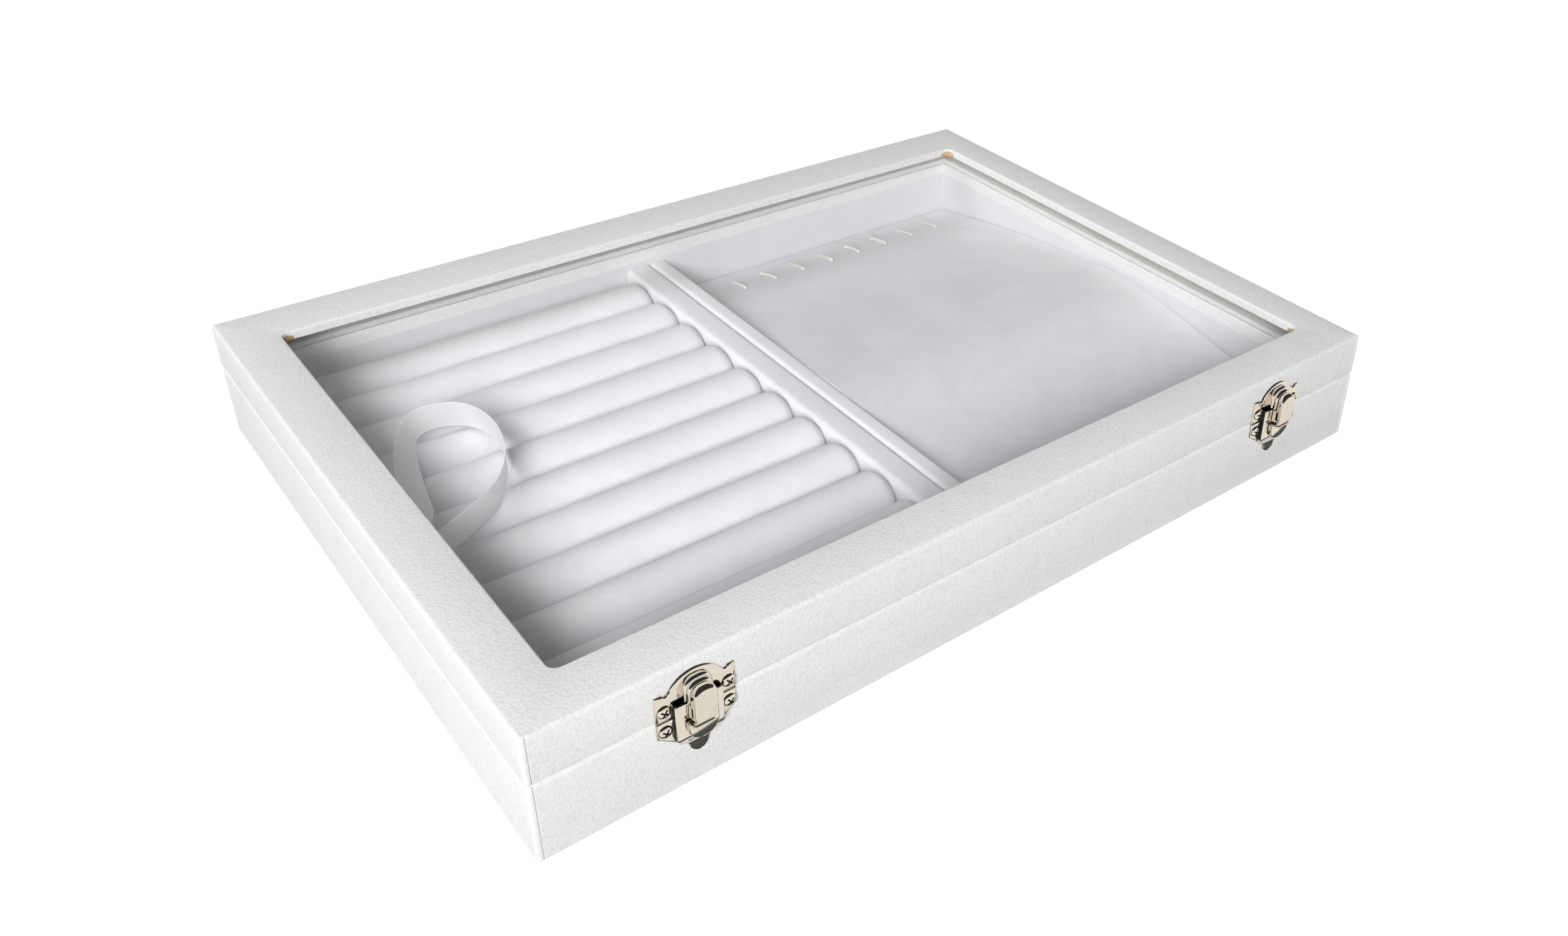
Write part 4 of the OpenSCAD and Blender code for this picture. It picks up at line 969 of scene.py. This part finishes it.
nickel = nickel_plate("bright_nickel_plate", 0.07, 0.16, 1)
brushed = nickel_plate("brushed_nickel_plate", 0.26, 0.36, 9)
# Dark nickel for the channel walls and the screws' recesses, which is painted shade.
recess_shade_nickel = nickel_painted_recess_shade()
PLATE_T, PLATE_HALF, WING_TOP, CROWN_R, CROWN_Z = 0.9, 12.7, 9.6, 9.7, 4.6
NOTCH = arc(9.4, WING_TOP + 0.3, 0.95, -18, -150, 8)
lid_plate = ([(-PLATE_HALF, 0.15), (PLATE_HALF, 0.15), (PLATE_HALF, WING_TOP)] + NOTCH
             + arc(0, CROWN_Z, CROWN_R, 33, 147, 40) + [(-x, z) for x, z in reversed(NOTCH)]
             + [(-PLATE_HALF, WING_TOP)])


def arched(half, low, high, r):
    """A front view with a flat foot and round upper corners."""
    return ([(-half, low), (half, low)] + arc(half - r, high - r, r, 0, 90, 10)
            + arc(r - half, high - r, r, 90, 180, 10))


wings = [(-PLATE_HALF, -0.15), (-PLATE_HALF, -5.7), (-6.6, -10.2), (6.6, -10.2), (PLATE_HALF, -5.7),
         (PLATE_HALF, -0.15)]
TIP_Z, TIP_R, CHANNEL_HALF, CHANNEL_OUT, CHANNEL_T = -16.5, 3.2, 7.7, 2.6, 0.6
tongue = [(TIP_Z + TIP_R * (1 - cos(radians(a))), max(TIP_R * sin(radians(a)), 0.05), 0, 0.9)
          for a in range(0, 91, 15)]
tongue += [(-12.6, 3.7, 0, 0.9), (-12, 4.2, 0, 0.98), (-11.6, 4.5, 0, 1.1), (-10.4, 6.6, 0, 1.6),
           (-9, 7.3, 0, 2.2), (-8.2, 7.65, 0, 2.52), (-7.6, CHANNEL_HALF, 0, CHANNEL_OUT),
           (4.6, CHANNEL_HALF, 0, CHANNEL_OUT), (4.8, CHANNEL_HALF - 0.15, 0, CHANNEL_OUT - 0.15)]
tongue += [(z, CHANNEL_HALF - CHANNEL_T, 0, CHANNEL_OUT - CHANNEL_T) for z in (4.8, -7)]
EAR_R, EAR_X, EAR_T = 1.25, 2.6, 0.3
ear = [(4 + EAR_R * sin(radians(a)), 3 + EAR_R * cos(radians(a))) for a in range(0, 181, 20)]
ear = across(ear + [(2.2, 1.75), (2.2, 4.25)], EAR_T)
TAB_HALF, TAB_LOW = 4.8, -8.7
tab = [(TAB_LOW + TAB_HALF * (1 - cos(radians(a))), max(TAB_HALF * sin(radians(a)), 0.05))
       for a in range(0, 91, 9)]
tab = [(z, half, 2.9, 5.0 + 0.12 * (z + 1.2)) for z, half in tab + [(-1.6, TAB_HALF), (-1.3, TAB_HALF - 0.3)]]
bead = ([(-4.1, 3.2 + 0.4 * k, -1.3) for k in range(7)] + [(-4.0, 6.0, -1.3), (-3.6, 6.4, -1.3)]
        + [(-3.1 + 0.55 * k, 6.45, -1.3) for k in range(11)])
stem = [(-2, 2.1, 2.9, 3.8), (4, 2.1, 2.9, 3.8)]
boss = [(4.75 + 1.0 * cos(radians(a)), 0.4 + 1.0 * sin(radians(a))) for a in range(0, 360, 20)]


def channel_wall(at, normal):
    """The side walls of the channel above the tongue, which get painted shade."""
    beside = abs(abs(at.x) - CATCH_X)
    return abs(normal.x) > 0.93 and at.z > SPLIT_Z - 9 * MM and abs(beside - CHANNEL_HALF * MM) < 0.2 * MM


def hook_front(at, normal):
    """The flat front of the hook, which is brushed."""
    return normal.y < -0.99


for side in SIDES:
    catch_piece("catch_lid_plate_plated", side, "lid", (
        pressed(lid_plate, 0, PLATE_T, 0.9, 2.1), pressed(arched(4.7, 5.2, 13, 4), 0.5, 2.7, 0.9, 1.3),
        pressed(arched(4.1, 5.2, 12.3, 3.6), 2.0, 4.1, 0.8, 1.5)), nickel, f"catch_lid_plate_{side}")
    base_plate = catch_piece("catch_base_plate_plated", side, "base", [
        pressed(wings, 0, PLATE_T, 0.6, 1.5), bar_rows(tongue, 0.5)]
        + [[[(x + shift, y, z) for x, y, z in row] for row in ear] for shift in (EAR_X, -EAR_X)],
        nickel, f"catch_base_plate_{side}")
    # The channel's side walls get painted shade.
    second_material(base_plate, recess_shade_nickel, channel_wall)
    catch_piece("catch_lever_plated", side, f"lever_{side}", (
        bar_rows(tab, 0.5), bar_rows(stem, 0.2), across(boss, 2.8), tube(bead, 0.5)), nickel,
        f"catch_lever_{side}")
    hook = catch_piece("catch_hook_plated", side, f"hook_{side}", (
        pressed(arched(3.7, -0.3, 11.5, 3.2), 4.4, 6.7, 0.55, 2.2, 8),
        pressed(arched(3.7, -0.3, 4.7, 0.3), 2.9, 5.4, 0.2)), nickel, f"catch_hook_{side}")
    second_material(hook, brushed, hook_front)
    for piece, body in (("catch_lever_pin", "base"), ("catch_hook_pin", f"hook_{side}")):
        node = f"{piece}_{side}"
        fitted(softened(f"{piece}_plated_{side}", node, 0.1 * MM, nickel), body, "nickel", node)

# Screws. Small pan-head cross-recess screws, nickel-plated like the catches and hinges, go through the
# plates into the walls. Their heads are pressed, so they are rounded down to a thin rim.


def screw_tree(material):
    """A screw at each point given. Its head stands along its own Z, and Turn sets the row's direction."""
    tree, given = node_tree("cross_screws", Head="Float", Rise="Float", Shank="Float", Length="Float",
                            Turn="Vector")
    ball = add(tree, "GeometryNodeMeshUVSphere", {"Segments": 32, "Rings": 16, "Radius": 1.0})
    oval = add(tree, "ShaderNodeCombineXYZ", {"X": given["Head"], "Y": given["Head"], "Z": given["Rise"]})
    head = add(tree, "GeometryNodeTransform", {"Geometry": ball, "Scale": oval})
    long, wide = (add(tree, "ShaderNodeMath", {0: given["Head"], 1: share}, operation="MULTIPLY")
                  for share in (1.25, 0.26))
    lift = add(tree, "ShaderNodeCombineXYZ", {"Z": given["Rise"]})
    recessed = add(tree, "GeometryNodeMeshBoolean", {"Mesh 1": head}, operation="DIFFERENCE", solver="EXACT")
    for x, y in ((long, wide), (wide, long)):
        size = add(tree, "ShaderNodeCombineXYZ", {"X": x, "Y": y, "Z": given["Rise"]})
        bar = add(tree, "GeometryNodeMeshCube", {"Size": size})
        cutter = add(tree, "GeometryNodeTransform", {"Geometry": bar, "Translation": lift})
        tree.links.new(cutter.outputs[0], recessed.inputs["Mesh 2"])
    rod = add(tree, "GeometryNodeMeshCylinder", {"Vertices": 16, "Radius": given["Shank"],
                                                 "Depth": given["Length"]})
    depth = add(tree, "ShaderNodeMath", {0: given["Length"], 1: -0.5}, operation="MULTIPLY")
    sink = add(tree, "ShaderNodeCombineXYZ", {"Z": depth})
    shank = add(tree, "GeometryNodeTransform", {"Geometry": rod, "Translation": sink})
    whole = add(tree, "GeometryNodeJoinGeometry")
    for part in (shank, recessed):
        tree.links.new(part.outputs[0], whole.inputs[0])
    spin = add(tree, "FunctionNodeRandomValue", {"Min": 0.3, "Max": 1.4, "Seed": 11}, data_type="FLOAT")
    about = add(tree, "ShaderNodeCombineXYZ", {"Z": spin})
    first, then = (add(tree, "FunctionNodeEulerToRotation", {0: turn}) for turn in (about, given["Turn"]))
    turned = add(tree, "FunctionNodeRotateRotation", {"Rotation": then, "Rotate By": first},
                 rotation_space="LOCAL")
    many = add(tree, "GeometryNodeInstanceOnPoints", {"Points": given["Geometry"], "Instance": whole,
                                                      "Rotation": turned})
    return end_tree(tree, add(tree, "GeometryNodeSetShadeSmooth", {"Geometry": many}), material)


def screw_centres(node, face):
    """The middle of each solid of a node of screws, put on the plate's face."""
    form = bmesh.new()
    form.from_mesh(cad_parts[node].data)
    bmesh.ops.remove_doubles(form, verts=form.verts, dist=0.002 * MM)
    left, centres = set(form.verts), []
    while left:
        island, edge = set(), [left.pop()]
        while edge:
            vertex = edge.pop()
            island.add(vertex)
            for other in (e.other_vert(vertex) for e in vertex.link_edges):
                if other in left:
                    left.discard(other)
                    edge.append(other)
        xs, zs = [v.co.x for v in island], [v.co.z for v in island]
        centres.append(((min(xs) + max(xs)) / 2, face, (min(zs) + max(zs)) / 2))
    form.free()
    return sorted(centres)


def dark_recesses(obj, centres, out):
    """Painted shade in the cross of each screw and round the foot of its head. out is +1 at the back."""
    def chosen(at, normal):
        middle = min((Vector(c) for c in centres), key=lambda c: (c - at).length)
        rise = (at.y - middle.y) * out / SCREW_RISE
        reach = Vector((at.x - middle.x, at.z - middle.z)).length / SCREW_HEAD_R
        inside = (reach ** 2 + rise ** 2) ** 0.5
        return rise > 0 and (inside < 0.955 or reach > 0.97)
    second_material(obj, recess_shade_nickel, chosen)
    obj.data.set_sharp_from_angle(angle=radians(30))


SCREW_HEAD_R, SCREW_RISE, SCREW_R, SCREW_LEN = 2.2 * MM, 0.95 * MM, 0.9 * MM, 4.9 * MM
LEAF_T = 0.8 * MM
screws = screw_tree(nickel)
for held, face, out in (("catch", CASE_LOW.y - PLATE_T * MM, -1), ("hinge", CASE_HIGH.y + LEAF_T, 1)):
    for body in ("lid", "base"):
        node = f"{held}_{body}_screws"
        centres = screw_centres(node, face)
        made = grown(f"{held}_{body}_cross_screws", screws, centres, Head=SCREW_HEAD_R, Rise=SCREW_RISE,
                     Shank=SCREW_R, Length=SCREW_LEN, Turn=(-out * pi / 2, 0, 0))
        dark_recesses(fitted(made, body, "nickel", node), centres, out)

# Hinges. Two butt hinges of thin nickel-plated steel carry the lid: a leaf on the base with three knuckles,
# a leaf on the lid with two, and a pin with rounded heads.

for side in SIDES:
    for piece, body, width in (("hinge_base_leaf", "base", 0.2), ("hinge_lid_leaf", "lid", 0.2),
                               ("hinge_pin", "base", 0.15)):
        node = f"{piece}_{side}"
        fitted(softened(f"{piece}_plated_{side}", node, width * MM, nickel), body, "nickel", node)
